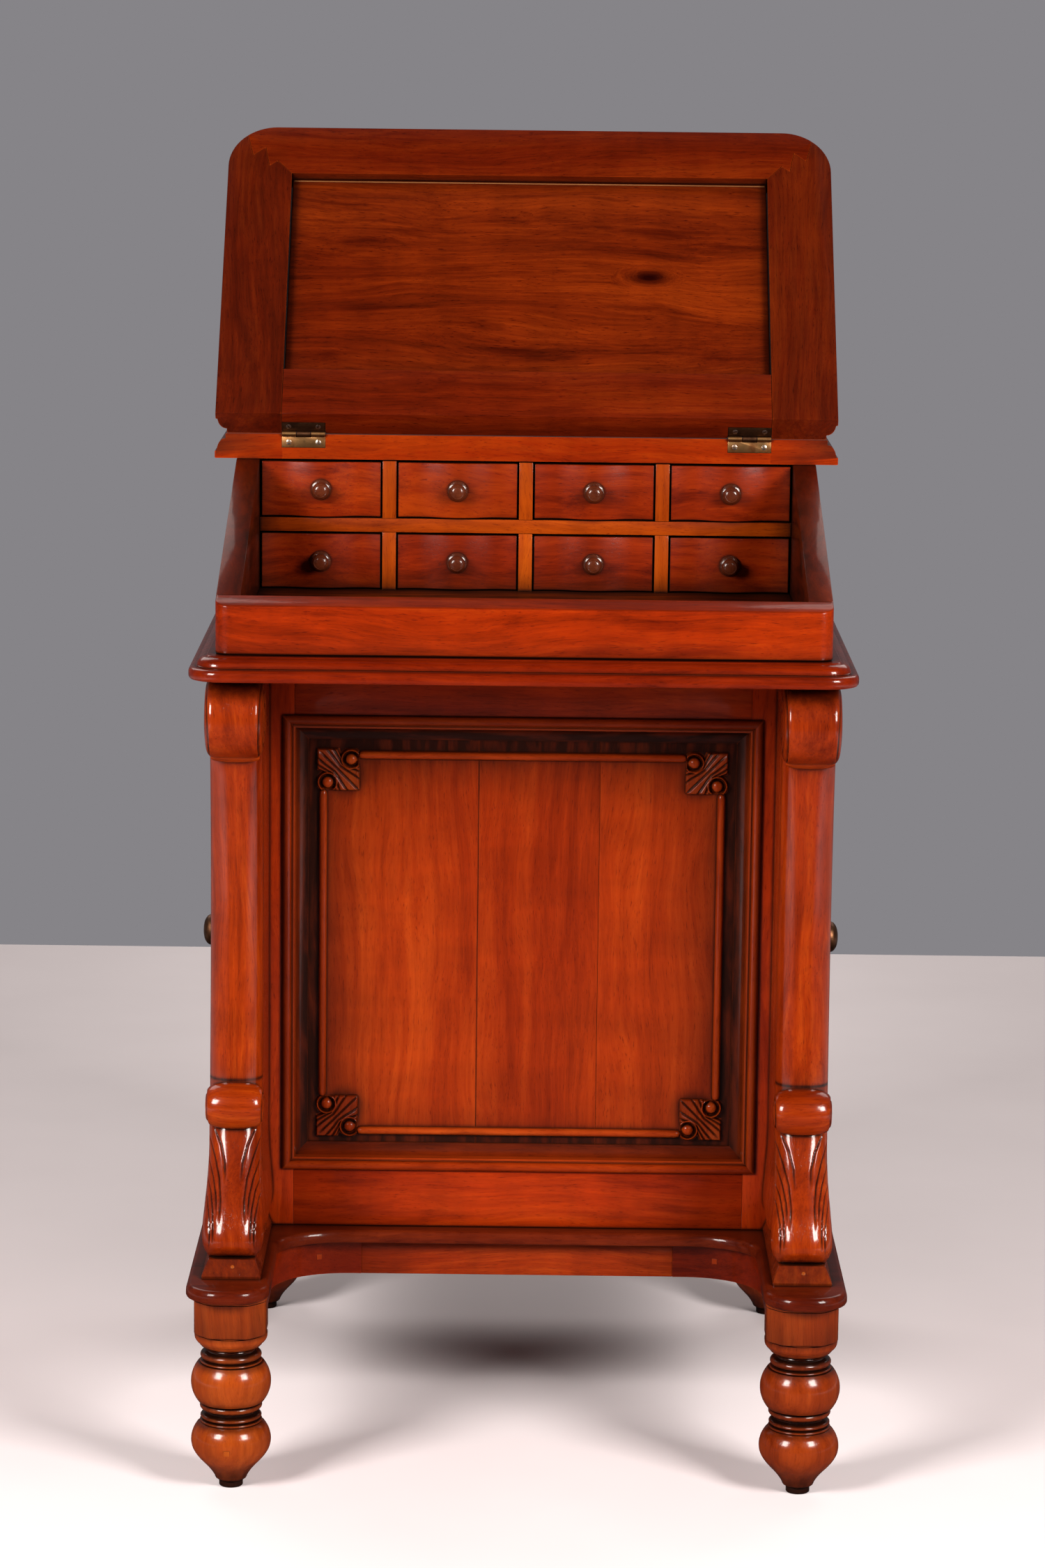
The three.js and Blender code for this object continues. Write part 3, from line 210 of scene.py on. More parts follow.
def worked(form, tool, operation):
    """The form after a boolean with another one."""
    body, knife = scratch(form), scratch(tool)
    step = body.modifiers.new("work", "BOOLEAN")
    step.operation, step.object, step.solver = operation, knife, "EXACT"
    mesh = body.evaluated_get(bpy.context.evaluated_depsgraph_get()).to_mesh()
    made = Form([v.co.copy() for v in mesh.vertices], [tuple(p.vertices) for p in mesh.polygons])
    for one in (body, knife):
        old = one.data
        bpy.data.objects.remove(one)
        bpy.data.meshes.remove(old)
    return made


def cut(form, *tools):
    for tool in tools:
        form = worked(form, tool, "DIFFERENCE")
    return form


def common(form, tool):
    return worked(form, tool, "INTERSECT")


def eased(form, size, steps=2, angle=28):
    """The form with its sharp edges rubbed round."""
    work = bmesh.new()
    corners = [work.verts.new(p) for p in form.points]
    for face in form.faces:
        work.faces.new([corners[i] for i in face])
    bmesh.ops.remove_doubles(work, verts=work.verts, dist=1e-3)
    bmesh.ops.recalc_face_normals(work, faces=work.faces)
    sharp = [e for e in work.edges if len(e.link_faces) == 2 and e.calc_face_angle() > math.radians(angle)]
    bmesh.ops.bevel(work, geom=sharp, offset=size, segments=steps, profile=0.5, affect="EDGES",
                    clamp_overlap=True)
    work.verts.index_update()
    made = Form([v.co.copy() for v in work.verts], [tuple(v.index for v in f.verts) for f in work.faces])
    work.free()
    return made


def piece(name, boards, finish, body="root", replaces=(), sharp=32):
    """Makes one piece of the desk. A board is a form, the way its grain runs and the way its face looks;
    each board gets its own place in the tree, so that no two have the same figure."""
    mesh = bpy.data.meshes.new(name)
    points, faces, grain, tone, wax_and_shade = [], [], [], [], []
    for form, along, face in boards:
        length, through = Vector(along).normalized(), Vector(face).normalized()
        across = through.cross(length)
        place = Vector(chance.uniform(-4000, 4000) for _ in range(3))
        shade = chance.random()
        start = len(points)
        points += [p * MM for p in form.points]
        faces += [tuple(i + start for i in f) for f in form.faces]
        grain += [Vector((p.dot(length), p.dot(across), p.dot(through))) + place for p in form.points]
        tone += [shade] * len(form.points)
        wax_and_shade += form.wax_and_shade
    mesh.from_pydata(points, [], faces)
    mesh.validate()
    mesh.update()
    for key, kind, values, numbers in (
        ("grain", "FLOAT_VECTOR", "vector", [c for v in grain for c in v]),
        ("tone", "FLOAT", "value", tone),
        ("wax_and_shade", "FLOAT", "value", wax_and_shade),
    ):
        mesh.attributes.new(key, kind, "POINT").data.foreach_set(values, numbers)
    work = bmesh.new()
    work.from_mesh(mesh)
    bmesh.ops.recalc_face_normals(work, faces=work.faces)
    work.to_mesh(mesh)
    work.free()
    mesh.polygons.foreach_set("use_smooth", [True] * len(mesh.polygons))
    mesh.set_sharp_from_angle(angle=math.radians(sharp))
    mesh.materials.append(finish)
    made = in_scene(name, mesh)
    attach(made, body)
    if replaces:
        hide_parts(*replaces)


# Finishes

def colour(code):
    """An sRGB hex value as a linear colour."""
    parts = [int(code[i:i + 2], 16) / 255 for i in (1, 3, 5)]
    return tuple(c / 12.92 if c <= 0.04045 else ((c + 0.055) / 1.055) ** 2.4 for c in parts) + (1,)


def new_finish(name):
    """An empty material, and the tree for its nodes."""
    made = bpy.data.materials.new(name)
    made.use_nodes = True
    made.node_tree.nodes.clear()
    return made, made.node_tree


def node(tree, kind, inputs=None, stops=None, **settings):
    """Adds a node with its settings, its colour stops and its values or links. Another node given as a
    value is linked by the first of its outputs that is in use."""
    made = tree.nodes.new("ShaderNode" + kind)
    for key, value in settings.items():
        setattr(made, key, value)
    if stops:
        while len(made.color_ramp.elements) < len(stops):
            made.color_ramp.elements.new(0.5)
        for element, (place, shade) in zip(made.color_ramp.elements, stops):
            element.position, element.color = place, shade
    for key, value in (inputs or {}).items():
        if isinstance(value, bpy.types.Node):
            value = next(output for output in value.outputs if output.enabled)
        if isinstance(value, bpy.types.NodeSocket):
            tree.links.new(value, made.inputs[key])
        else:
            made.inputs[key].default_value = value
    return made


def grey(value):
    return (value, value, value, 1)


BLACK_WAX_AND_SHADE, BROWN_SHADE = "#160602", "#240b03"


def polished_wood(name, dark, middle, light, glaze_and_shade_depth=0.95, glaze_and_shade_reach=3.6, shade_depth=0.8,
                  wear="#b8420c", wear_amount=0.2, roughness=0.36, coat=0.7, coat_roughness=0.08,
                  pore_depth=0.6, band=38, streak=6, stain=0.45, knot=None):
    """French-polished mahogany: a deep red-brown with long bands, short dark pores and a silky cross
    figure, under a clear shellac film that gives crisp lights. Painted shade darkens the recesses: brown
    spreads out of each one, and the quirks are black with dark wax and painted shade. The edges are
    rubbed paler. Lengths are millimetres of the board's own measure."""
    made, tree = new_finish(name)
    place = node(tree, "Attribute", attribute_name="grain").outputs["Vector"]
    tone = node(tree, "Attribute", attribute_name="tone").outputs["Fac"]
    laid = node(tree, "Attribute", attribute_name="wax_and_shade").outputs["Fac"]
    here = node(tree, "TexCoord").outputs["Object"]

    # The tree's growth isn't straight: the across place wanders slowly
    slow = node(tree, "Mapping", {"Vector": place, "Scale": (1 / 240, 1 / 90, 1 / 90)})
    wander = node(tree, "TexNoise", {"Vector": slow, "Scale": 1, "Detail": 2}).outputs["Color"]
    bent = node(tree, "VectorMath", {0: wander, 1: (0.5, 0.5, 0.5)}, operation="SUBTRACT")
    line = node(tree, "VectorMath", {0: bent, 1: (0, 46, 46), 2: place}, operation="MULTIPLY_ADD")
    knots = []
    if knot:
        # The fibres part round a knot: near it they are pushed across, and its heart is dark
        shares = [1 / (size * MM) for size in (34, 15, 15)]
        away = node(tree, "VectorMath", {0: here, 1: knot}, operation="SUBTRACT")
        away = node(tree, "VectorMath", {0: away, 1: shares}, operation="MULTIPLY")
        away = node(tree, "VectorMath", {0: away}, operation="LENGTH")
        near = node(tree, "ValToRGB", {"Fac": away}, stops=((0.1, grey(1)), (1.0, grey(0))))
        heart = node(tree, "ValToRGB", {"Fac": away}, stops=((0.12, grey(1)), (0.75, grey(0))))
        line = node(tree, "VectorMath", {0: near, 1: (0, 26, 26), 2: line}, operation="MULTIPLY_ADD")
        knots = [("MULTIPLY", "#5a2c1c", heart, 1.0)]

    # Noise drawn out along the grain: the length and width of its marks, its detail and its roughness
    growth = []
    for long, wide, detail, rough in (
        (620, band, 3, 0.55), (170, streak, 4, 0.55), (34, 1.7, 3, 0.6), (26, 120, 2, 0.55),
        (9, 0.7, 2, 0.5), (260, 90, 3, 0.55), (110, 13, 5, 0.65), (60, 9, 4, 0.55),
    ):
        scaled = node(tree, "Mapping", {"Vector": line, "Scale": (1 / long, 1 / wide, 1 / wide)})
        growth.append(node(tree, "TexNoise", {
            "Vector": scaled, "Scale": 1, "Detail": detail, "Roughness": rough}))
    bands, streaks, fibres, ribbon, pits, patches, smears, blotches = growth
    # No two boards are of quite the same depth of colour
    depth = node(tree, "Math", {0: tone, 1: 0.12, 2: -0.06}, operation="MULTIPLY_ADD")
    for noise, share in ((bands, 0.46), (streaks, 0.3), (fibres, 0.24)):
        depth = node(tree, "Math", {0: noise, 1: share, 2: depth}, operation="MULTIPLY_ADD")
    base = node(tree, "ValToRGB", {"Fac": depth}, stops=(
        (0.3, colour(dark)), (0.5, colour(middle)), (0.68, colour(light))))
    # Ribbon figure: the silky bands across the grain where the fibres lean to and fro
    silk = node(tree, "MapRange", {"Value": ribbon, 1: 0.3, 2: 0.7, 3: 0.9, 4: 1.1})
    base = node(tree, "Mix", {"Factor": 1.0, 6: base, 7: silk}, data_type="RGBA", blend_type="MULTIPLY")

    # Pores are 0.3 mm wide in the real wood; they are drawn at about 0.7 mm to show at all
    pores = node(tree, "ValToRGB", {"Fac": pits}, stops=((0.6, grey(0)), (0.72, grey(1))))
    # Old polish: slow patches that are browner, and darker smears along the grain
    patch = node(tree, "ValToRGB", {"Fac": patches}, stops=((0.36, grey(0)), (0.68, grey(1))))
    smear = node(tree, "ValToRGB", {"Fac": smears}, stops=(
        (0.5, grey(0)), (0.68, grey(1))))
    # Where the surface lies in a wide recess, in a narrow quirk, or on a sharp edge
    masks = []
    for reach, rays, inside, full, clear in (
        (26, 8, False, 0.42, 0.94), (glaze_and_shade_reach, 8, False, 0.52, 0.92), (1.6, 6, True, 0.3, 0.66),
    ):
        opened = node(tree, "AmbientOcclusion", {"Distance": reach * MM}, samples=rays, inside=inside)
        masks.append(node(tree, "ValToRGB", {"Fac": opened.outputs["AO"]}, stops=(
            (full, grey(1)), (clear, grey(0)))))
    recess, quirk, edge = masks
    # Painted shade: brown spreading out of each recess; black in the quirks, partly wax and partly painted
    # shade, and wherever the attribute lays it
    brown = node(tree, "MapRange", {
        "Value": streaks, 1: 0.3, 2: 0.7, 3: 1.15 * shade_depth, 4: 0.85 * shade_depth})
    brown = node(tree, "Math", {0: recess, 1: brown}, operation="MULTIPLY")
    uneven = node(tree, "MapRange", {"Value": blotches, 1: 0.35, 2: 0.65, 3: 0.8, 4: 1.2})
    black = node(tree, "Math", {0: laid, 1: uneven}, operation="MULTIPLY")
    black = node(tree, "Math", {0: quirk, 1: black}, operation="MAXIMUM")
    black = node(tree, "Math", {0: black, 1: 1.0}, operation="MINIMUM")
    # Each coat over the last: how it is laid, its colour, where it lies and how deep; the brown coat is
    # painted shade, the black one wax and painted shade
    for kind, tint, mask, share in (
        ("MULTIPLY", "#8a4e36", pores, pore_depth), ("MULTIPLY", "#b4745a", patch, 0.5),
        ("MULTIPLY", "#8a4a34", smear, stain), *knots, ("MIX", BROWN_SHADE, brown, 1.0),
        ("MIX", BLACK_WAX_AND_SHADE, black, glaze_and_shade_depth), ("MIX", wear, edge, wear_amount),
    ):
        amount = node(tree, "Math", {0: mask, 1: share}, operation="MULTIPLY")
        base = node(tree, "Mix", {"Factor": amount, 6: base, 7: colour(tint)}, data_type="RGBA",
                    blend_type=kind)

    swell = node(tree, "TexNoise", {"Vector": here, "Scale": 32, "Detail": 1})
    relief = 0.0
    for height, share in ((swell, 0.9), (fibres, 0.1), (pores, -0.12)):
        relief = node(tree, "Math", {0: height, 1: share, 2: relief}, operation="MULTIPLY_ADD")
    bump = node(tree, "Bump", {"Height": relief, "Strength": 0.5, "Distance": 0.0004})
    rough = roughness - 0.06
    for mask, share in ((streaks, 0.12), (black, 0.18)):
        rough = node(tree, "Math", {0: mask, 1: share, 2: rough}, operation="MULTIPLY_ADD")
    shader = node(tree, "BsdfPrincipled", {
        "Base Color": base, "Roughness": rough, "Normal": bump, "IOR": 1.5, "Specular IOR Level": 0.05,
        "Coat Weight": coat, "Coat Roughness": coat_roughness, "Coat IOR": 1.5, "Coat Normal": bump})
    node(tree, "OutputMaterial", {"Surface": shader})
    return made


def aged_metal(name, bright, dull, crust, roughness=0.3):
    """Old lacquered brass, or steel: warm metal where fingers rub it, brown tarnish elsewhere, and small
    dull spots."""
    made, tree = new_finish(name)
    place = node(tree, "TexCoord").outputs["Object"]
    clouds = node(tree, "TexNoise", {"Vector": place, "Scale": 1 / (9 * MM), "Detail": 4})
    spots = node(tree, "TexNoise", {"Vector": place, "Scale": 1 / (0.9 * MM), "Detail": 2})
    hollow = node(tree, "AmbientOcclusion", {"Distance": 2 * MM}, samples=6).outputs["AO"]
    base = node(tree, "ValToRGB", {"Fac": clouds}, stops=((0.34, colour(dull)), (0.65, colour(bright))))
    dirt = node(tree, "ValToRGB", {"Fac": hollow}, stops=((0.35, grey(0.9)), (0.85, grey(0))))
    base = node(tree, "Mix", {"Factor": dirt, 6: base, 7: colour(crust)}, data_type="RGBA")
    rough = node(tree, "MapRange", {"Value": clouds, 1: 0.3, 2: 0.7, 3: roughness + 0.18, 4: roughness})
    bump = node(tree, "Bump", {"Height": spots, "Strength": 0.35, "Distance": 0.0001})
    shader = node(tree, "BsdfPrincipled", {
        "Base Color": base, "Metallic": 1.0, "Roughness": rough, "Normal": bump})
    node(tree, "OutputMaterial", {"Surface": shader})
    return made


def tooled_leather(name):
    """Writing leather, vegetable-tanned and waxed: a fine pebble grain, a soft gloss and darker hollows."""
    made, tree = new_finish(name)
    place = node(tree, "TexCoord").outputs["Object"]
    pebble = node(tree, "TexVoronoi", {"Vector": place, "Scale": 1 / (1.6 * MM)}, feature="F1")
    creases = node(tree, "TexNoise", {"Vector": place, "Scale": 1 / (70 * MM), "Detail": 6})
    base = node(tree, "ValToRGB", {"Fac": creases}, stops=(
        (0.3, colour("#34120b")), (0.52, colour("#40170e")), (0.72, colour("#4c1d12"))))
    bump = node(tree, "Bump", {"Height": pebble, "Strength": 0.6, "Distance": 0.0002})
    rough = node(tree, "MapRange", {"Value": creases, 1: 0.3, 2: 0.7, 3: 0.42, 4: 0.58})
    shader = node(tree, "BsdfPrincipled", {
        "Base Color": base, "Roughness": rough, "Normal": bump, "IOR": 1.5})
    node(tree, "OutputMaterial", {"Surface": shader})
    return made


mahogany = polished_wood("mahogany_polished", "#5e1602", "#862a03", "#a5430a", shade_depth=0.6,
                         coat_roughness=0.11)
mahogany_frame = polished_wood("mahogany_front_frame", "#821d02", "#a83003", "#bb4108", shade_depth=0.2,
                               coat=0.35)
mahogany_box = polished_wood("mahogany_box_front", "#5a1401", "#882501", "#9c3703", shade_depth=0.6,
                             coat=0.3)
mahogany_ledge = polished_wood("mahogany_ledge", "#4c0e00", "#6b1800", "#7e2301", shade_depth=0.5)
mahogany_lid = polished_wood("mahogany_lid_frame", "#3c0d02", "#5e1803", "#742705", coat=0.25,
                             shade_depth=0.6, streak=4, pore_depth=0.8, stain=0.35, wear="#9a3a0c",
                             wear_amount=0.5)
mahogany_lid_panel = polished_wood("mahogany_lid_panel", "#340c02", "#611c03", "#7c2b05", coat=0.25,
                                   band=26, streak=3.5, pore_depth=0.9, stain=0.6,
                                   knot=(0.106, 0.1445, 0.978))
mahogany_platform = polished_wood("mahogany_platform", "#3e0e03", "#521605", "#632008", coat=0.4,
                                  stain=0.7)
mahogany_panel = polished_wood("mahogany_panel", "#661a02", "#862903", "#993808", band=24, coat=0.4,
                               stain=0.2, pore_depth=0.55)
mahogany_moulding = polished_wood("mahogany_moulding", "#641a02", "#802603", "#903406", glaze_and_shade_reach=6,
                                  coat=0.5, shade_depth=0.7)
mahogany_carved = polished_wood("mahogany_carved", "#6c2206", "#8c2f08", "#9c3f0e", band=24,
                                glaze_and_shade_reach=4, coat=0.3)
mahogany_feet = polished_wood("mahogany_turned", "#601c04", "#863208", "#9c4410", glaze_and_shade_reach=6,
                              stain=0.25, coat_roughness=0.15, pore_depth=0.35)
mahogany_drawer = polished_wood("mahogany_drawer_front", "#541001", "#7e2202", "#963404", glaze_and_shade_reach=3,
                                coat=0.15, coat_roughness=0.2, roughness=0.45, stain=0.6)
knob_wood = polished_wood("mahogany_knob", "#441a0d", "#582815", "#68321d", wear="#7a4c37",
                          coat_roughness=0.12)
nest_wood = polished_wood("nest_wood", "#782801", "#973b03", "#a84906", coat=0.1, roughness=0.5,
                          wear="#ac682c")
inner_wood = polished_wood("inner_wood", "#603416", "#774722", "#895c33", coat=0.0, roughness=0.6,
                           wear="#9a754c", glaze_and_shade_depth=0.6, shade_depth=0.3)
glide_wood = polished_wood("glide_ebonised", "#130b08", "#1b110c", "#231812", wear="#37281e")
brass = aged_metal("brass_aged", "#b98a58", "#6e4528", "#2a1710")
brass_dark = aged_metal("brass_tarnished", "#684630", "#331f15", "#170d09", roughness=0.4)
steel = aged_metal("screw_steel", "#c9b8ac", "#8d7668", "#33231b", roughness=0.25)
leather = tooled_leather("writing_leather")


# Feet

FOOT_X, FOOT_Y = 236, (-254, 258)
FOOT_TOP, BALL, NECK = 166.4, 33.2, 20.2


def ball(middle, half_height, heights):
    """Part of a ball of the turning: the radius at each of the heights."""
    return [(BALL * math.sqrt(1 - ((h - middle) / half_height) ** 2), h) for h in heights]


def collar(low, high):
    """What sits on a ball: a thin bead, a quirk, and a fuller ring that runs up to the neck."""
    half = (high - low - 2.8) / 2
    return (
        arc((24.9, low + 1), (1, 1), -90, 90, 6) + [(23.8, low + 2.3)]
        + arc((NECK + 1, high - half), (24.4 - NECK, half), -70, 90, 10) + [(NECK, high + 0.4)]
    )


def octagon(half, flat, ease):
    """A square with its corners cut off and each new corner rubbed round."""
    corners = [(flat, -half), (half, -flat), (half, flat), (flat, half)]
    corners += [(-x, -y) for x, y in corners]
    outline = []
    for i, corner in enumerate(corners):
        here, before, after = Vector(corner), Vector(corners[i - 1]), Vector(corners[(i + 1) % 8])
        start = here + (before - here).normalized() * ease
        end = here + (after - here).normalized() * ease
        for t in (0, 0.2, 0.4, 0.6, 0.8, 1):
            outline.append(tuple(start * (1 - t) ** 2 + here * 2 * t * (1 - t) + end * t * t))
    return outline


def foot_forms():
    toe = curve_through([
        (11.3, 6), (12.7, 6.9), (13.4, 8.4), (14.1, 10), (17.4, 15), (21.8, 20), (26.5, 25), (30.2, 30),
        (32.5, 35), (BALL, 40)], 2)
    shoulder = (
        arc((NECK + 0.2, 119.3), (1.3, 0.9), -90, 90, 6)
        + curve_through([(21.2, 120.4), (24.6, 121.5), (27, 124.4)], 4)
        + [(27.1, 125)] + curve_through([(28.2, 125.4), (29.8, 127.8), (30.3, 130.8), (30.3, 132.8)], 4)
    )
    profile = (
        [(0, 6)] + toe + ball(40, 26.8, range(42, 56, 2)) + collar(56.2, 63.4)
        + [(NECK + 0.8, 64.6), (NECK + 0.8, 66.4)] + arc((22, 70), (3.9, 3.2), -90, 90, 12) + [(23.6, 73.6)]
        + ball(90.5, 29.2, [74 + 1.5 * i for i in range(23)]) + collar(107.2, 116.8)
        + [(NECK - 0.2, 118.3)] + shoulder + [(29.4, 133.2), (29.4, 133.8), (0, 133.8)]
    )
    top = [(2, 133.7), (1, 134.2), (0.6, 135.4), (0.6, 162.4), (1, 162.8), (0.3, 163.2), (0, 164), (0, 165.2),
           (0.4, 166), (1.2, FOOT_TOP)]
    return turned(profile), moulded(octagon(30.5, 16.5, 5), top)


def plug(radius, place, facing, proud=0.25, sides=16):
    """The end of a peg, a little proud of the wood; four sides make a square one."""
    stand = Vector(facing).to_track_quat("Z", "Y").to_matrix().to_4x4()
    peg = turned([(0, -2), (radius, -2), (radius, proud - 0.15), (radius - 0.3, proud), (0, proud)], sides)
    peg = peg.moved(Matrix.Rotation(math.pi / sides, 4, "Z"))
    return peg.moved(Matrix.Translation(place) @ stand)


turning, foot_block = foot_forms()
# Wax lies in every neck and collar, and thins out over the balls beside them
for i, p in enumerate(turning.points):
    reach_in = (27.5 - math.hypot(p.x, p.y)) / 4
    beside = max(math.exp(-((p.z - level) / 3.5) ** 2) for level in (56, 73, 107, 134))
    turning.wax_and_shade[i] = min(1, max(0, reach_in if p.z > 50 else 0, 0.6 * beside, 0.5 * (16 - p.z) / 10))
foot_block.wax_and_shade = [0.7 * math.exp(-((p.z - 134) / 2) ** 2) + 0.1 * (p.z > 162) for p in foot_block.points]
glide = turned([(0, 0), (9.2, 0), (9.9, 0.8), (9.9, 5), (9.4, 6.2), (0, 6.2)], 40)
for end, y in zip(("front", "rear"), FOOT_Y):
    for side, sign in SIDES:
        place = dict(x=sign * FOOT_X, y=y)
        piece(f"foot_{end}_{side}_turning", [
            (turning.shifted(**place), UP, FRONT), (foot_block.shifted(**place), UP, FRONT),
        ], mahogany_feet, replaces=[f"foot_{end}_{side}"])
        piece(f"foot_{end}_{side}_glide", [(glide.shifted(**place), UP, FRONT)], glide_wood)

piece("foot_front_left_plug", [
    (plug(3.4, (-FOOT_X - 1.6, FOOT_Y[0] - 32.9, 37), (-0.05, -0.97, -0.22), 0.1, sides=4), UP, FRONT),
], nest_wood)


# Platform and apron

PLATFORM_LOW = FOOT_TOP + 0.3
EAR_INSIDE, EAR_FRONT, EAR_ROUND, KNEE_START = 203.5, -296, 31, -150
KNEE_CURVE = (59.5, 43)


def knee_line(inset, back_inset, ear_front, steps=20):
    """The hollow front, from the left ear round the knee space to the right ear."""
    ear = EAR_INSIDE + inset
    radii = (KNEE_CURVE[0] + inset, KNEE_CURVE[1] + back_inset)
    flat = ear - radii[0]
    return (
        [(-ear, ear_front)] + arc((-flat, KNEE_START), radii, 180, 90, steps)
        + arc((flat, KNEE_START), radii, 90, 0, steps) + [(ear, ear_front)]
    )


def platform_outline():
    half, rear, rear_round = 272.5, 296, 14
    start = EAR_FRONT + EAR_ROUND
    ears = (EAR_ROUND, EAR_ROUND)
    return (
        arc((-half + EAR_ROUND, start), ears, 180, 270, 16)
        + arc((-EAR_INSIDE - EAR_ROUND, start), ears, 270, 360, 16)
        + knee_line(0, 0, start + 1)
        + arc((EAR_INSIDE + EAR_ROUND, start), ears, 180, 270, 16)
        + arc((half - EAR_ROUND, start), ears, 270, 360, 16)
        + arc((half - rear_round, rear - rear_round), (rear_round,) * 2, 0, 90, 8)
        + arc((-half + rear_round, rear - rear_round), (rear_round,) * 2, 90, 180, 8)
    )


nosing = [(2, 0), (0.7, 0.6), (0, 2)] + arc((4.4, 4.8), (-4.4, 6.2), 0, 90, 9)
platform = moulded(platform_outline(), nosing).shifted(z=PLATFORM_LOW)
piece("platform_top", [(platform, SIDE, UP)], mahogany_platform, replaces=["platform_board"])

APRON_LOW, APRON_HIGH, APRON_JOINT = 136.4, 166.4, 134
side_x, foot_front, foot_rear, foot_inner = 264, -223.2, 227.2, 205.2
apron_outline = (
    [(-side_x, foot_front)] + knee_line(5.5, 13, foot_front, 24)
    + [(side_x, foot_front), (side_x, foot_rear), (foot_inner, foot_rear), (foot_inner, 286),
       (-foot_inner, 286), (-foot_inner, foot_rear), (-side_x, foot_rear)]
)
apron_room = [(-246, -76), (246, -76), (246, 209.2), (187.2, 209.2), (187.2, 268), (-187.2, 268),
              (-187.2, 209.2), (-246, 209.2)]
apron = cut(prism(apron_outline, APRON_LOW, APRON_HIGH), prism(apron_room, 120, 180))
# The straight rail is lapped to a shaped block at each end of the hollow
apron_boards = []
for xs in ((-300, -APRON_JOINT), (-APRON_JOINT, APRON_JOINT), (APRON_JOINT, 300)):
    board = common(apron, block(xs, (-300, 300), (100, 200)))
    apron_boards.append((eased(board, 0.6), SIDE, FRONT))
piece("apron_rail", apron_boards[1:2], mahogany, replaces=["platform_apron"])
piece("apron_blocks", apron_boards[::2], mahogany_ledge)
piece("apron_pegs", [
    (plug(3.2, (sign * 170, -98.8, 152), (-sign * 0.352, -0.936, 0), sides=4), UP, FRONT) for sign in (-1, 1)
], mahogany)


# Pillars

PILLAR_BACK, PILLAR_LOW, PILLAR_DEPTH = -90.3, 178, 170
TOP_ROLL, LOW_ROLL = (34.5, 462.5), (19.5, 134)
# Height above the platform, front, half width and roundness of the front corners, in millimetres
pillar_stations = [
    (0, 167.4, 24.6, 1.2), (2, 167.4, 24.6, 1.2), (14.2, 158.2, 19.4, 2), (15.2, 154, 19.6, 5),
    (17, 157, 21.6, 11), (20, 161, 23.6, 16), (27, 165.6, 25.2, 20), (38, 164, 25.2, 21),
    (54, 155.8, 23.9, 20.5),
    (74, 141.5, 22.4, 19.5), (94, 128, 21.8, 18.5), (114, 119, 22, 17.5), (134, 113.5, 22, 17.5),
    (164, 111, 22, 18),
    (224, 105.5, 22, 18), (298, 102.2, 22, 18), (368, 103.8, 22, 18), (417, 108.8, 22, 18),
    (437, 113.5, 22, 18), (497, 113.9, 22, 18),
]


def station_slope(k):
    """How fast the pillar's section changes at a station."""
    low, high = max(k - 1, 0), min(k + 1, len(pillar_stations) - 1)
    change = Vector(pillar_stations[high][1:]) - Vector(pillar_stations[low][1:])
    return change / (pillar_stations[high][0] - pillar_stations[low][0])


def pillar_station(height):
    """Front, half width and roundness at a height, on a smooth line through the stations."""
    k = max(i for i in range(len(pillar_stations) - 1) if pillar_stations[i][0] <= height)
    start, end = (Vector(pillar_stations[j][1:]) for j in (k, k + 1))
    span = pillar_stations[k + 1][0] - pillar_stations[k][0]
    t = (height - pillar_stations[k][0]) / span
    if height < 17:
        return start + (end - start) * t
    m0, m1 = station_slope(k) * span, station_slope(k + 1) * span
    h = (2 * t ** 3 - 3 * t * t + 1, t ** 3 - 2 * t * t + t, -2 * t ** 3 + 3 * t * t, t ** 3 - t * t)
    return start * h[0] + m0 * h[1] + end * h[2] + m1 * h[3]


# Carved veins of the knee: pairs of height above the platform and distance from the middle, where more
# than the half width is on the side
knee_veins = [
    [(114, 17.2), (102, 11.2), (89, 7.6), (76, 6.7)],
    [(112, 24), (104, 20.5), (92, 16.2), (77, 11.8), (61, 10), (46, 10.8)],
    [(108, 34), (94, 23), (77, 17), (64, 14.2), (50, 13.4)],
    [(98, 35), (80, 24), (68, 19), (54, 16.6), (40, 15.8), (28, 16)],
    [(86, 36), (74, 27.5), (62, 21.8), (48, 19.4), (36, 18.7), (24, 19)],
    [(70, 37), (58, 30), (46, 26.5), (34, 25.6), (26, 26)],
]
VEIN_DEPTH, VEIN_WIDTH = 1.25, 0.85


def round_section(across, half, curve):
    """Distance along the section, from the middle, of a point at a distance across it."""
    flat = half - curve
    if across <= flat:
        return across
    if across >= half:
        return flat + curve * math.pi / 2 + across - half
    return flat + curve * math.asin((across - flat) / curve)


def vein_cut(height, run, half, curve):
    """How full a carved groove is at a place: 0 is clear wood and 1 the bottom of the groove."""
    most = 0.0
    for vein in knee_veins:
        top, low = vein[0][0], vein[-1][0]
        if not low - 2 < height < top + 2:
            continue
        at = min(max(height, low), top)
        (h1, x1), (h0, x0) = next(pair for pair in zip(vein, vein[1:]) if pair[1][0] <= at <= pair[0][0])
        middle = round_section(x0 + (x1 - x0) * (at - h0) / (h1 - h0), half, curve)
        away = (run - middle) / math.hypot(1, (x1 - x0) / (h1 - h0))
        fade = min(1, (height - low + 2) / 10, (top + 2 - height) / 4)
        most = max(most, fade * math.exp(-(away / VEIN_WIDTH) ** 2))
    return most


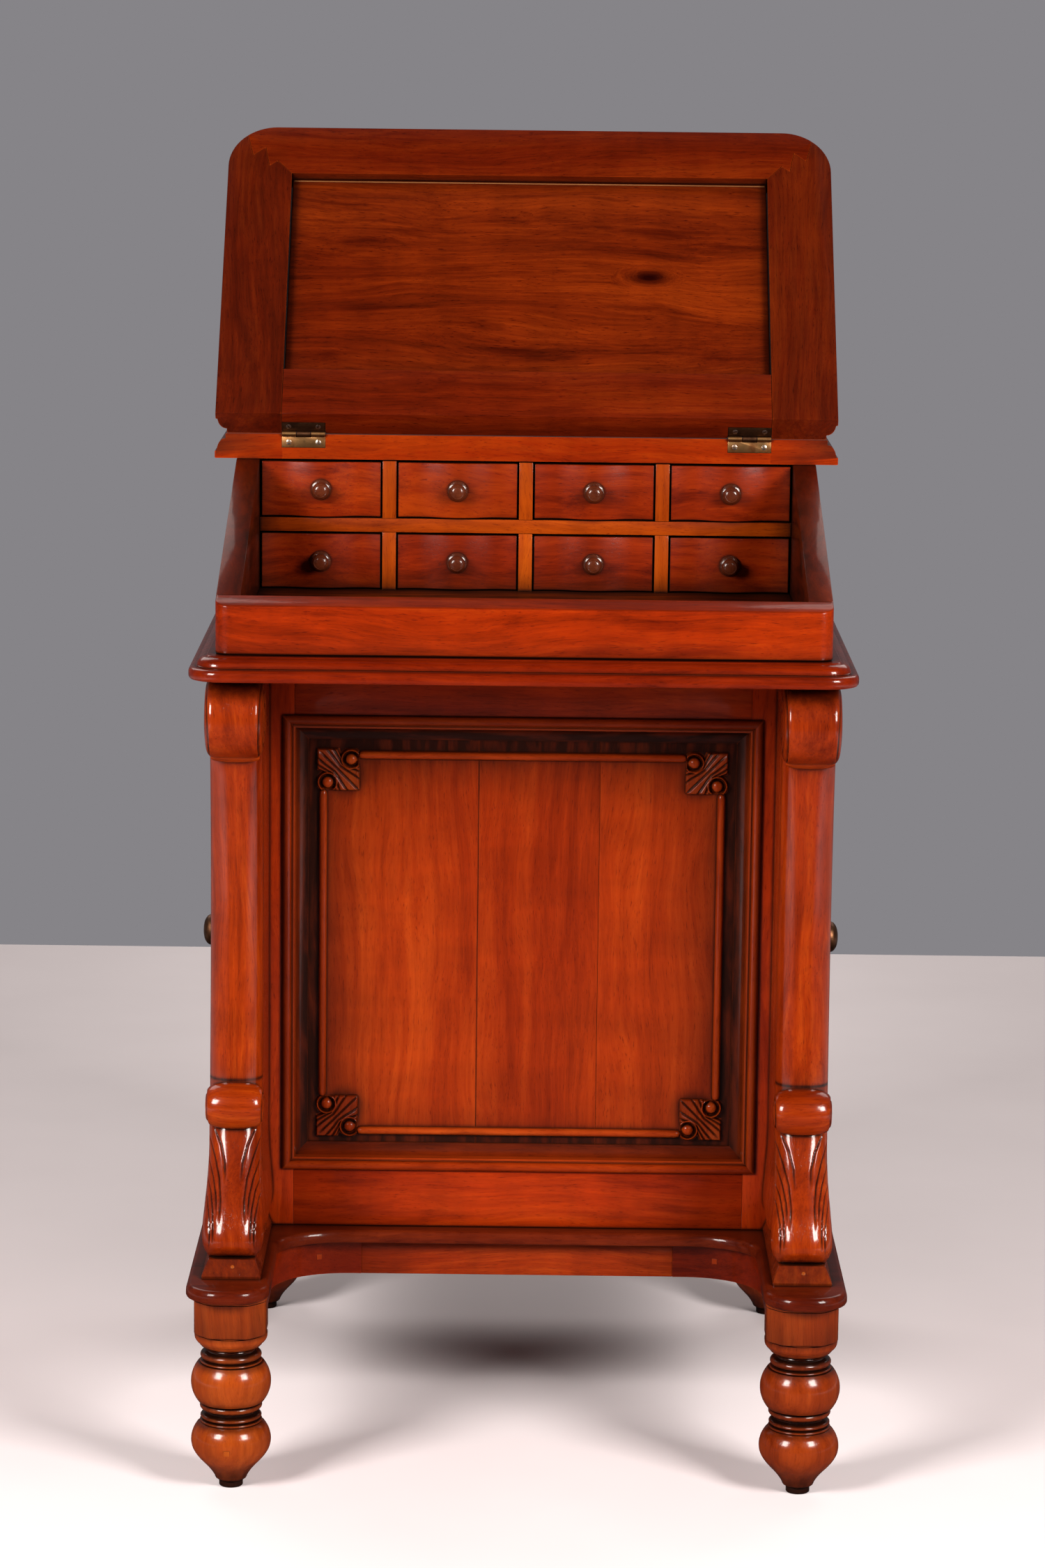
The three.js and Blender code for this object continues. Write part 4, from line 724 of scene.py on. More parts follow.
def pillar_form():
    heights = [0, 1, 2, 5, 8, 11, 14.2, 14.7, 15.2, 16, 17, 18.5]
    for start, step, count in ((20, 0.7, 136), (117, 3, 11), (148, 1, 16), (168, 7, 47)):
        heights += [start + i * step for i in range(count)]
    places = [i / 44 for i in range(45)] + [1 + i / 28 for i in range(1, 45)] + [3.1, 4, 5.5]
    rings, wax_and_shade = [], []
    for height in heights + [497]:
        front, half, curve = pillar_station(height)
        flat, round_end = half - curve, half - curve + curve * math.pi / 2
        side_line, side_wax_and_shade = [], []
        for place in places:
            if place <= 1:
                run = place * round_end
                turn = max(0, run - flat) / curve
                point = Vector((min(run, flat) + curve * math.sin(turn),
                                -front + curve * (1 - math.cos(turn))))
                normal = Vector((math.sin(turn), -math.cos(turn)))
            else:
                run = round_end + (place - 1) * half
                point = Vector((half, min(-0.5, -front + curve + (place - 1) * half)))
                normal = Vector((1, 0))
            groove = vein_cut(height, run, half, curve) if 16 < height < 118 else 0.0
            # Painted shade: a dark line round the front just over the low roll, the shadow of a thin lip
            # there
            lip_shadow = math.exp(-((height - 155) / 1.6) ** 2) if place <= 1 else 0.0
            side_line.append(point - normal * groove * VEIN_DEPTH)
            # The low plinth is darkened
            side_wax_and_shade.append(max(groove, lip_shadow, 0.5 if height < 16 else 0.0))
        side_line.append(Vector((half, 0)))
        side_wax_and_shade.append(0.0)
        rings.append([(-p.x, p.y, height) for p in side_line[::-1]]
                     + [(p.x, p.y, height) for p in side_line[1:]])
        wax_and_shade += side_wax_and_shade[::-1] + side_wax_and_shade[1:]
    form = loft(rings)
    form.wax_and_shade = wax_and_shade
    return form


def roll_form(radius, height, ends, turns):
    """A roll that lies across the pillar: a round that swells to the ends given as pairs of radius and
    place across, in shares, cut with a spiral line on each side."""
    half_width = 24.5
    half = [(r * radius, x * half_width) for r, x in curve_through(ends, 3)]
    line = [(0, -half_width)] + [(r, -x) for r, x in half[:-1]] + half[::-1][:-1] + [(0, half_width)]
    form = turned(line, 72)
    made, wax_and_shade = [], []
    for p in form.points:
        r, turn = math.hypot(p.x, p.y), math.atan2(p.y, p.x)
        groove = 0.0
        if abs(p.z) > 0.8 * half_width and r > 0.12 * radius:
            for lap in range(turns + 1):
                line_r = radius * (0.24 + 0.27 * ((turn / (2 * math.pi)) % 1 + lap))
                if line_r < radius * 0.97:
                    groove = max(groove, math.exp(-((r - line_r) / 1.1) ** 2))
        made.append((p.z - math.copysign(1.1 * groove, p.z), p.x, p.y))
        wax_and_shade.append(groove)
    return Form(made, form.faces, wax_and_shade).shifted(y=-0.67 * PILLAR_DEPTH, z=height)


SQUARE_END = [
    (0.08, 1), (0.3, 0.996), (0.5, 0.99), (0.62, 0.984), (0.74, 0.963), (0.82, 0.943), (0.88, 0.914),
    (0.93, 0.873), (0.965, 0.825), (0.985, 0.784), (0.997, 0.727), (1, 0.67), (1, 0.37), (1, 0)]
PILLOW_END = [
    (0.08, 1), (0.3, 0.995), (0.48, 0.985), (0.6, 0.966), (0.7, 0.935), (0.78, 0.885), (0.84, 0.82),
    (0.89, 0.73), (0.93, 0.62), (0.965, 0.47), (0.985, 0.33), (0.997, 0.16), (1, 0)]
column = pillar_form()
top_roll = roll_form(*TOP_ROLL, SQUARE_END, 2)
low_roll = roll_form(*LOW_ROLL, PILLOW_END, 1)
# The scroll's inner coil shows under the top roll
coil = roll_form(9, TOP_ROLL[1] - TOP_ROLL[0] + 4.5, PILLOW_END, 0)
coil = coil.moved(Matrix.Diagonal((0.86, 1, 1, 1))).shifted(y=1.5)
for side, sign in SIDES:
    place = dict(x=sign * FOOT_X, y=PILLAR_BACK, z=PILLAR_LOW)
    piece(f"pillar_{side}_scrolls", [
        (column.shifted(**place), UP, FRONT), (top_roll.shifted(**place), UP, FRONT),
        (low_roll.shifted(**place), SIDE, FRONT), (coil.shifted(**place), SIDE, FRONT),
    ], mahogany, replaces=[f"pillar_{side}"])
    piece(f"pillar_{side}_peg", [
        (plug(1.6, (sign * FOOT_X + 1, -252.6, PILLAR_LOW + 9), (0, -0.797, 0.601)), UP, FRONT),
    ], nest_wood)


# Pedestal front

LOW, HIGH, FRAME_X, FRONT_Y, FRAME_BACK = 178, 675, 250, -90, -66
OPEN_X, OPEN_LOW, OPEN_HIGH, PANEL_Y = 193, 238, 612.7, -79
frame_boards = []
for side, sign in SIDES:
    stile = eased(block((sign * OPEN_X, sign * FRAME_X), (FRONT_Y, FRAME_BACK), (LOW, HIGH)), 0.45)
    stile.wax_and_shade = [0.14] * len(stile.points)
    frame_boards.append((stile, UP, FRONT))
for zs in ((LOW, OPEN_LOW), (OPEN_HIGH, HIGH)):
    rail = eased(block((-OPEN_X, OPEN_X), (FRONT_Y, FRAME_BACK), zs), 0.45)
    # Painted shade: the top rail is darkened for the ledge's shadow over it; the low rail is darker than the
    # stiles too
    rail.wax_and_shade = [0.45 if zs[1] == HIGH else 0.34] * len(rail.points)
    frame_boards.append((rail, SIDE, FRONT))
piece("pedestal_front_frame", frame_boards, mahogany_frame, replaces=["front_frame"])

BEAD_X, BEAD_LOW, BEAD_HIGH, BEAD_HALF = 169.1, 259.9, 587.8, 3.6
CARVING, CARVING_OUT, CARVING_BALL = 36, 5.2, (0.8, 0.25)


def panel_wax_and_shade(x, z):
    """Black wax and painted shade fill the margin outside the bead; painted shade thins out inside it, most
    at the corners and top.
    """
    inside = min(BEAD_X - abs(x), z - BEAD_LOW, BEAD_HIGH - z)
    if inside < 0:
        return 0.94
    corner = math.dist((abs(x), max(z, BEAD_LOW + BEAD_HIGH - z)), (BEAD_X - 18, BEAD_HIGH - 18))
    top = 0.3 * math.exp(-(BEAD_HIGH - z) / 26)
    return max(0.85 * math.exp(-(inside / 5) ** 2), 0.36 * math.exp(-inside / 15) + top,
               0.7 * math.exp(-(corner / 21) ** 4))


SEAMS = (-200.7, -37, 66, 200.7)


def panel_board(start, end):
    """A board of the panel, its face divided finely enough to carry the wax and painted shade."""
    columns = [start + (end - start) * i / 40 for i in range(1, 40)]
    columns = [start, start + 0.7, *columns, end - 0.7, end]
    low, high = OPEN_LOW - 7.7, OPEN_HIGH + 7.7
    rings = []
    for step in range(131):
        z = low + (high - low) * step / 130
        rings.append([(x, PANEL_Y, z) for x in columns] + [(end, PANEL_Y + 9, z), (start, PANEL_Y + 9, z)])
    form = loft(rings)
    form.wax_and_shade = [panel_wax_and_shade(p.x, p.z) if p.y < PANEL_Y + 1 else 0.0 for p in form.points]
    # The left seam has opened and filled with wax; the right one is tight
    for i, p in enumerate(form.points):
        if abs(p.x - SEAMS[1]) < 0.3:
            form.wax_and_shade[i] = max(form.wax_and_shade[i], 0.95)
        elif abs(p.x - SEAMS[2]) < 0.3:
            form.wax_and_shade[i] = max(form.wax_and_shade[i], 0.35)
    return form


piece("pedestal_front_panel", [
    (panel_board(start + 0.15, end - 0.15), UP, FRONT) for start, end in zip(SEAMS, SEAMS[1:])
], mahogany_panel, replaces=["front_panel"])


def mitred_lengths(profile, half, low, high, y, wax_and_shade=None):
    """Four lengths of a moulding, mitred round a rectangle: pairs of inset and projection to the front."""
    corners = [(-1, -1), (1, -1), (1, 1), (-1, 1)]
    lengths = []
    for i, start in enumerate(corners):
        end = corners[(i + 1) % 4]
        rings = []
        for sx, sz in (start, end):
            rings.append([(sx * (half - inset), y - proud, high - inset if sz > 0 else low + inset)
                          for inset, proud in profile])
        run = SIDE if start[1] == end[1] else UP
        length = loft(rings)
        if wax_and_shade:
            # Painted shade: the top length is darkened and the bottom one made lighter
            shade_shift = (0.2 if start[1] > 0 else -0.25) if start[1] == end[1] else 0.0
            length.wax_and_shade = [min(1.0, max(0.0, w + shade_shift)) for w in wax_and_shade] * 2
        lengths.append((length, run, FRONT))
    return lengths


roll_line = curve_through([
    (0.3, 0.4), (0.8, 2.4), (2.6, 4.1), (4.9, 4.5), (7, 3.6), (8.3, 1.8), (8.6, 0.6)], 4)
cove_line = curve_through([
    (11.5, 0.6), (11.9, -2.6), (13.2, -5.4), (15.8, -7.8), (19.4, -8.9), (22.2, -9.1)], 4)
LAP = 10.8
quirk = [(8.8, 0.45), (9.5, 0.45), (9.7, 1.3), (11.3, 1.1)]
bolection = roll_line + quirk + cove_line + [(22.5, -10.7), (11.2, -10.7), (11.2, 0.3)]
# Black wax in the quirk, and black wax with painted shade down the hollow; least on the crown of the roll
bolection_wax_and_shade = []
for inset, proud in bolection:
    in_quirk = math.exp(-((inset - 9.2) / 0.9) ** 2)
    down = 0.6 + 0.38 * (inset - 11.5) / 10.7 if inset > 11.4 else 0.0
    outer = math.exp(-(inset / 0.9) ** 2)
    bolection_wax_and_shade.append(max(0.12, in_quirk, down, outer))
piece("panel_bolection", mitred_lengths(bolection, OPEN_X + LAP, OPEN_LOW - LAP, OPEN_HIGH + LAP, FRONT_Y,
                                        bolection_wax_and_shade),
      mahogany_moulding, replaces=["panel_moulding"])

bead_line = []
for turn in range(0, 181, 15):
    t = math.radians(turn)
    bead_line.append((-BEAD_HALF * math.cos(t), 5 * math.sin(t) ** 0.8))


def carving_relief(a, b):
    """Height of the corner carving, and the wax on it, at a share of its size from the outer corner: a
    veined leaf lies along the diagonal and curls round a ball on each side."""
    if a < b:
        a, b = b, a
    along, off = (a + b) / 2, a - b
    spread = 2 * (0.17 + 0.42 * abs(along - 0.47) + 0.3 * max(0, along - 0.6))
    height, wax_and_shade = 0.0, 1.0
    if off < spread:
        rim = min(1, (spread - off) * CARVING / 3.2, (1 - a) * CARVING / 1.8 + 0.3, b * CARVING / 1.6 + 0.3)
        height = 4.5 * math.sqrt(max(0, rim))
        bend = 0.1 * math.sin(math.pi * min(1, along)) * spread
        wax_and_shade = 0.3
        for vein in (0, 0.3, 0.6, 0.86):
            away = (off - vein * spread - bend * (vein > 0)) * CARVING / 2
            groove = math.exp(-(away / 0.62) ** 2) * min(1, along * 6)
            height -= 1.7 * groove
            wax_and_shade = max(wax_and_shade, 0.9 * groove)
    reach = math.dist((a, b), CARVING_BALL) * CARVING
    if reach < 5.6:
        return 5.6 * math.sqrt(max(0.01, 1 - (reach / 5.7) ** 2)), 0.0
    if reach < 9.6 and a < 0.98:
        curl = 4.9 * math.exp(-((reach - 7.9) / 1.2) ** 2)
        return max(min(height, 1 + 1.8 * (reach - 5.6)), curl, 0.0), 1 - min(1, curl / 3)
    return max(height, 0.0), wax_and_shade


def carving_form(sign_x, sign_z, corner_x, corner_z):
    steps = 80
    field = [[carving_relief(i / steps, j / steps) for j in range(steps + 1)] for i in range(steps + 1)]
    points, faces, wax_and_shade, keys = [], [], [], {}

    def point(i, j, front):
        if (i, j, front) not in keys:
            keys[i, j, front] = len(points)
            y = PANEL_Y + 0.3 - field[i][j][0] if front else PANEL_Y + 0.6
            x, z = corner_x - sign_x * CARVING * i / steps, corner_z - sign_z * CARVING * j / steps
            points.append((x, y, z))
            wax_and_shade.append(field[i][j][1])
        return keys[i, j, front]

    shown = {(i, j) for i in range(steps) for j in range(steps)
             if max(field[i + p][j + q][0] for p in (0, 1) for q in (0, 1)) > 0.05}
    for i, j in shown:
        corners = [(i, j), (i + 1, j), (i + 1, j + 1), (i, j + 1)]
        faces.append([point(*c, True) for c in corners])
        faces.append([point(*c, False) for c in corners[::-1]])
        for k, neighbour in enumerate([(i, j - 1), (i + 1, j), (i, j + 1), (i - 1, j)]):
            if neighbour not in shown:
                start, end = corners[k], corners[(k + 1) % 4]
                faces.append([point(*start, True), point(*start, False),
                              point(*end, False), point(*end, True)])
    return Form(points, faces, wax_and_shade)


def bead_length(upright, half, across):
    """One length of the bead, each end drawn down to a point against the carving's ball."""
    ends = [(0, 0.2), (0.5, 0.5), (1.3, 0.72), (2.6, 0.88), (4.4, 0.97), (6, 1)]
    shares = [(half - run, thin) for run, thin in ends]
    rings = []
    for place, thin in [(-place, thin) for place, thin in shares] + shares[::-1]:
        ring = []
        for off, proud in bead_line:
            y, beside = PANEL_Y + 0.3 - proud * thin, across + off * thin
            ring.append((beside, y, place + BEAD_MIDDLE) if upright else (place, y, beside))
        rings.append(ring)
    form = loft(rings)
    form.wax_and_shade = [0.7 * (1 - min(1, proud / 2.4)) for _, proud in bead_line] * len(rings)
    return form, UP if upright else SIDE, FRONT


BEAD_MIDDLE = (BEAD_LOW + BEAD_HIGH) / 2
BEAD_STOP = CARVING - CARVING_OUT - 1.6
bead_boards = []
for sign, level in ((-1, BEAD_LOW), (1, BEAD_HIGH)):
    bead_boards.append(bead_length(False, BEAD_X - BEAD_STOP, level))
    bead_boards.append(bead_length(True, BEAD_HIGH - BEAD_MIDDLE - BEAD_STOP, sign * BEAD_X))
    for side in (-1, 1):
        corner = carving_form(side, sign, side * (BEAD_X + CARVING_OUT), level + sign * CARVING_OUT)
        bead_boards.append((corner, UP, FRONT))
piece("panel_bead_carved", bead_boards, mahogany_carved, replaces=["panel_bead"], sharp=60)


# Hinges

def hinge(name, length, fixed, place, body, finish):
    """One leaf of a butt hinge with its knuckles and two countersunk screws. It is drawn shut, pin along X,
    leaves hanging down from it, and the fixed leaf behind. The fixed leaf has the two outer knuckles."""
    side = 1 if fixed else -1
    half, edge = length / 2, length / 6
    own = [(-half, -edge - 0.2), (edge + 0.2, half)] if fixed else [(-edge + 0.2, edge - 0.2)]
    others = [(-edge - 0.4, edge + 0.4)] if fixed else [(-length, -edge + 0.4), (edge - 0.4, length)]
    inner, outer = side * 0.3, side * 1.4
    plate = block((-half, half), (inner, outer), (-12, -0.2))
    plate = cut(plate, *[block(xs, (-4, 4), (-3, 4)) for xs in others])
    parts = [eased(plate, 0.25)]
    for low, high in own:
        knuckle = [(0, low), (2.2, low), (2.5, low + 0.3), (2.5, high - 0.3), (2.2, high), (0, high)]
        parts.append(turned(knuckle, 28).moved(Matrix.Rotation(math.pi / 2, 4, "Y")))
    piece(name, [(form.moved(place), SIDE, FRONT) for form in parts], finish, body,
          replaces=[name + "_leaf"])
    screws = []
    for x in (-length * 0.34, length * 0.34):
        head = turned([(0, 0), (2.9, 0), (2.9, 0.5), (2.2, 0.95), (0, 1.1)], 28)
        turn = Matrix.Rotation(chance.uniform(0, math.pi), 4, "Z")
        head = cut(head, block((-4, 4), (-0.35, 0.35), (0.45, 3)).moved(turn))
        # The head faces away from the wood, towards the other leaf
        stand = Matrix.Translation((x, inner, -7.4)) @ Matrix.Rotation(side * math.pi / 2, 4, "X")
        screws.append((head.shifted(z=-0.9).moved(place @ stand), SIDE, FRONT))
    piece(name + "_screws", screws, steel, body)


# Carcass and doors

DOOR_PIN_X, DOOR_PIN_Y, DOOR_HINGE_LONG = 250.8, 248.5, 50
POST_FRONT, POST_REAR, INNER_X, RAIL_START, RAIL_HIGH = 249.5, 285, 226, -65.7, 24
DOOR_FRONT, DOOR_REAR, DOOR_LOW, DOOR_HIGH, DOOR_INNER, STILE = -64, 247.5, 204, 649, 232, 46
MIDDLE_Y, MIDDLE_Z = (DOOR_FRONT + DOOR_REAR) / 2, (DOOR_LOW + DOOR_HIGH) / 2
door_hinge_heights = (("lower", 264), ("upper", 589))


def leaf_rooms(sign, ys):
    """What is cut out of a board for the leaves of its two hinges."""
    return [block((sign * 238.6, sign * (FRAME_X + 2)), ys, (h - 25.2, h + 25.2))
            for _, h in door_hinge_heights]


def fielded(edge, margin, bevel, rise, power):
    """The face of a fielded panel: a square edge, a flat margin and a hollow bevel up to the field."""
    slope = [(margin + bevel * s, edge + rise * s ** power) for s in (0.2, 0.4, 0.6, 0.8, 1)]
    return [(0, 0), (0, edge), (margin, edge)] + slope


# A small ovolo runs round the inside of each door's frame
ovolo = [(6 * math.sin(math.radians(t)), 4.6 * math.cos(math.radians(t))) for t in (20, 45, 70)]
ovolo = [(0, 0), (0, 4.6), *ovolo, (6, 0)]
door_knob = turned(
    [(0, 0), (8.3, 0), (8.5, 0.4), (8.5, 1.6), (7.6, 2.5), (6, 3)]
    + curve_through([(5.2, 4), (4.9, 7), (5.6, 9.6), (7.4, 11.2)], 4)
    + curve_through([(11, 12), (13.1, 13.8), (13.4, 16), (12.2, 19.2), (8.6, 21.8), (4, 22.9)], 5)
    + [(0, 23)], 48)
for side, sign in SIDES:
    outward, thick = (sign, 0, 0), (sign * INNER_X, sign * FRAME_X)
    post = block(thick, (POST_FRONT, POST_REAR), (LOW, HIGH))
    boards = [(eased(cut(post, *leaf_rooms(sign, (244, 250.4))), 0.5), UP, outward)]
    for zs in ((LOW, LOW + RAIL_HIGH), (HIGH - RAIL_HIGH, HIGH)):
        boards.append((eased(block(thick, (RAIL_START, POST_FRONT), zs), 0.5), BACK, outward))
    piece(f"pedestal_side_{side}", boards, mahogany, replaces=[f"side_frame_{side}"])

    body, thick = f"door_{side}", (sign * DOOR_INNER, sign * FRAME_X)
    hinge_stile = block(thick, (DOOR_REAR - STILE, DOOR_REAR), (DOOR_LOW, DOOR_HIGH))
    hinge_stile = cut(hinge_stile, *leaf_rooms(sign, (246.6, 252)))
    front_stile = block(thick, (DOOR_FRONT, DOOR_FRONT + STILE), (DOOR_LOW, DOOR_HIGH))
    boards = [(eased(stile, 0.7), UP, outward) for stile in (hinge_stile, front_stile)]
    for zs in ((DOOR_LOW, DOOR_LOW + STILE), (DOOR_HIGH - STILE, DOOR_HIGH)):
        rail = block(thick, (DOOR_FRONT + STILE, DOOR_REAR - STILE), zs)
        boards.append((eased(rail, 0.7), BACK, outward))
    place = Matrix.Translation((sign * 243.6, MIDDLE_Y, 0)) @ axes((0, sign, 0), (-sign, 0, 0), UP)
    for form, run, _ in mitred_lengths(
            ovolo, (DOOR_REAR - DOOR_FRONT) / 2 - STILE, DOOR_LOW + STILE, DOOR_HIGH - STILE, 0):
        boards.append((form.moved(place), BACK if run == SIDE else UP, outward))
    piece(f"side_door_frame_{side}", boards, mahogany, body, replaces=[f"door_frame_{side}"])

    field = fielded(6, 12, 26, 6, 1.25) + [(38.6, 12), (39.2, 11.2), (41, 11.2), (41.6, 12)]
    place = Matrix.Translation((sign * 235.5, MIDDLE_Y, MIDDLE_Z)) @ axes((0, sign, 0), UP, outward)
    piece(f"side_door_panel_{side}", [
        (moulded(rectangle(116.75, 183.5), field).moved(place), UP, outward),
    ], mahogany_panel, body, replaces=[f"door_panel_{side}"])

    stand = Matrix.Translation((sign * 250.3, -41, MIDDLE_Z)) @ Matrix.Rotation(sign * math.pi / 2, 4, "Y")
    piece(f"side_door_knob_{side}", [(door_knob.moved(stand), SIDE, FRONT)], brass_dark, body,
          replaces=[f"door_knob_{side}"])
    for end, height in door_hinge_heights:
        place = Matrix.Translation((sign * DOOR_PIN_X, DOOR_PIN_Y, height))
        place = place @ axes((0, 0, -sign), BACK, outward)
        for owner, fixed, rides in (("post", True, "root"), ("door", False, body)):
            hinge(f"door_hinge_{side}_{end}_{owner}", DOOR_HINGE_LONG, fixed, place, rides, brass_dark)

back_panel = moulded(rectangle(225.7, 248.5), fielded(12, 26, 30, 6, 1.3))
place = Matrix.Translation((0, 267, MIDDLE_Z)) @ axes((-1, 0, 0), UP, BACK)
piece("pedestal_back", [(back_panel.moved(place), UP, BACK)], mahogany, replaces=["rear_panel"])

shelf_right = [(231.5, RAIL_START), (231.5, 249.2), (225.7, 249.2), (225.7, 266.7)]
shelf_outline = [(-231.5, RAIL_START), *shelf_right, *[(-x, y) for x, y in shelf_right[:0:-1]]]
piece("inner_shelf", [(eased(prism(shelf_outline, 418.5, 434.5), 0.6), SIDE, UP)], inner_wood,
      replaces=["cupboard_shelf"])


# Ledge and box

LEDGE_LOW = 675.3
ledge_moulding = (
    [(3.4, 0), (1.4, 0.5), (0.4, 1.6), (0, 3.2), (0, 6.4), (0.4, 8), (1.2, 9.1), (2.2, 9.7)]
    + [(6.2, 9.9), (6.6, 10.6), (6.2, 11.2), (6.6, 11.4)]
    + [(14.6 - 8 * math.cos(math.radians(t)), 11.4 + 7.2 * math.sin(math.radians(t)))
       for t in range(8, 91, 10)]
    + [(14.8, 19.2), (15.4, 19.7)]
)
ledge = moulded(rounded(545, -256, 290, 28, 22, 14), ledge_moulding).shifted(z=LEDGE_LOW)
piece("box_ledge", [(ledge, SIDE, UP)], mahogany_ledge, replaces=["ledge_board"])

BOX_LOW, BOX_HIGH, BOARD_FRONT, BOX_X, BOX_FRONT, BOX_REAR = 695.3, 824.5, 48, 251, -234, 275
SLOPE = math.atan2(BOX_HIGH - BOX_LOW - 40.3, BOARD_FRONT - BOX_FRONT)


def slope_height(y):
    return BOX_HIGH - (BOARD_FRONT - y) * math.tan(SLOPE)


plan = (
    arc((-BOX_X + 12, BOX_FRONT + 12), (12, 12), 180, 270, 10)
    + arc((BOX_X - 12, BOX_FRONT + 12), (12, 12), 270, 360, 10)
    + [(BOX_X, BOX_FRONT + 20), (-BOX_X, BOX_FRONT + 20)]
)
box_front = loft([[(x, y, BOX_LOW) for x, y in plan], [(x, y, slope_height(y)) for x, y in plan]])
box_front = eased(box_front, 1.6, 4, 40)
# The top edge is darkened a little, and a black line runs along the bottom where the box stands on the ledge
for i, p in enumerate(box_front.points):
    top, low = slope_height(p.y) - p.z, p.z - BOX_LOW
    box_front.wax_and_shade[i] = 0.3 if top < 0.9 else 0.95 if low < 0.6 else 0.0
piece("writing_box_front", [(box_front, SIDE, FRONT)], mahogany_box, replaces=["box_front"])
side_start = BOX_FRONT + 20.3
side_outline = [(side_start, BOX_LOW), (BOX_REAR, BOX_LOW), (BOX_REAR, BOX_HIGH), (BOARD_FRONT, BOX_HIGH),
                (side_start, slope_height(side_start))]
for side, sign in SIDES:
    board = eased(along_x(side_outline, (sign * 231, sign * BOX_X)), 0.7)
    # Painted shade darkens the inside of the box; the outside is darkened less
    board.wax_and_shade = [0.8 if abs(p.x) < 232 else 0.3 for p in board.points]
    piece(f"writing_box_side_{side}", [(board, BACK, (sign, 0, 0))], mahogany_lid,
          replaces=[f"box_side_{side}"])
back = block(*seat("box_back"))
piece("writing_box_back", [(eased(back, 0.6), SIDE, BACK)], mahogany, replaces=["box_back"])


# Drawer nest and drawers

NEST_X, NEST_FRONT, NEST_REAR, FLOOR_TOP, OPENING, SHELF = 230.7, 46, 254.7, 711.5, 50.5, 12
OPEN_WIDE = (2 * NEST_X - 3 * SHELF) / 4
PITCH = OPEN_WIDE + SHELF
SHELF_LOW = FLOOR_TOP + OPENING
SHELF_HIGH = SHELF_LOW + SHELF
boards = [
    (eased(block((-NEST_X, NEST_X), (-213.7, NEST_REAR), (BOX_LOW, FLOOR_TOP)), 0.4), SIDE, UP),
    (eased(block((-NEST_X, NEST_X), (NEST_FRONT, NEST_REAR), (SHELF_LOW, SHELF_HIGH)), 0.6), SIDE, FRONT),
]
for column in (-1, 0, 1):
    for zs in ((FLOOR_TOP, SHELF_LOW), (SHELF_HIGH, BOX_HIGH - 0.6)):
        xs = (column * PITCH - SHELF / 2, column * PITCH + SHELF / 2)
        divider = block(xs, (NEST_FRONT, NEST_REAR), zs)
        boards.append((eased(divider, 0.6), UP, FRONT))
boards[0][0].wax_and_shade = [0.8] * len(boards[0][0].points)
piece("drawer_nest_boards", boards, nest_wood, replaces=["drawer_nest"])

DRAWER_Y, DRAWER_WALL, FACE_BACK = NEST_FRONT + 1.3, 7, 13.9


def drawer_forms():
    """The bowed front, the two sides, the back and the bottom of a small drawer."""
    half = OPEN_WIDE / 2 - 1.4
    line = curve_through([
        (-half, 0.5), (-0.62 * half, 2.04), (0, -3.4), (0.62 * half, 2.04), (half, 0.5)], 10)
    face = prism([*line, (half, 14), (-half, 14)], 0.7, 48.3)
    outer, long = half - 1, 251 - DRAWER_Y
    inner, short = outer - DRAWER_WALL, long - DRAWER_WALL
    return [
        (eased(face, 0.9, 3, 40), SIDE, FRONT),
        (eased(block((-outer, -inner), (FACE_BACK, long), (0, 43)), 0.5), BACK, SIDE),
        (eased(block((inner, outer), (FACE_BACK, long), (0, 43)), 0.5), BACK, SIDE),
        (eased(block((-inner, inner), (short, long), (0, 43)), 0.5), SIDE, FRONT),
        (eased(block((-inner, inner), (FACE_BACK, short), (0.6, 5)), 0.2), SIDE, UP),
    ]


knob_line = (
    [(0, 0), (8.2, 0), (8.8, 0.5), (8.9, 1.2), (8.3, 1.9), (6.8, 2.3), (5.8, 2.9)]
    + curve_through([(4.9, 3.6), (4.7, 5), (5.2, 6.4), (6.6, 7.3)], 4)
    + curve_through([(7.1, 8), (7.3, 9.4), (7.1, 11.2), (6.3, 12.6), (5.3, 13.3)], 4)
    + [(4.9, 13.2), (4.4, 13.5), (2.4, 13.9), (0, 14)]
)
knob = turned(knob_line, 40).moved(Matrix.Rotation(math.pi / 2, 4, "X"))
for row, level in enumerate(("lower", "upper")):
    for column in range(4):
        name = f"drawer_{level}_{column + 1}"
        x, z = (column - 1.5) * PITCH, FLOOR_TOP + row * (OPENING + SHELF) + 0.3
        forms = [(form.shifted(x=x, y=DRAWER_Y, z=z), *ways) for form, *ways in drawer_forms()]
        piece(f"{name}_front", forms[:1], mahogany_drawer, name, replaces=[name])
        piece(f"{name}_box", forms[1:], inner_wood, name)
        place = knob.shifted(x=x, y=DRAWER_Y - 3.7, z=z + 24.5)
        piece(f"{name}_knob", [(place, FRONT, SIDE)], knob_wood, name,
              replaces=[f"drawer_knob_{level}_{column + 1}"])


# Fixed board

def cove_edge(thickness):
    """Fillet, cove and top band, full width at the underside and drawn in at the top."""
    high = thickness - 4.4
    cove = [(1.8 + 7.6 * (1 - math.cos(math.radians(t))), 6.4 + (high - 6.4) * math.sin(math.radians(t)))
            for t in range(10, 91, 8)]
    return ([(0.8, 0), (0.2, 0.3), (0, 0.8), (0, 5.6), (0.2, 6.2), (0.7, 6.4), (1.5, 6.5)]
            + cove + [(9.4, thickness - 0.9), (9.6, thickness - 0.3), (10.2, thickness)])


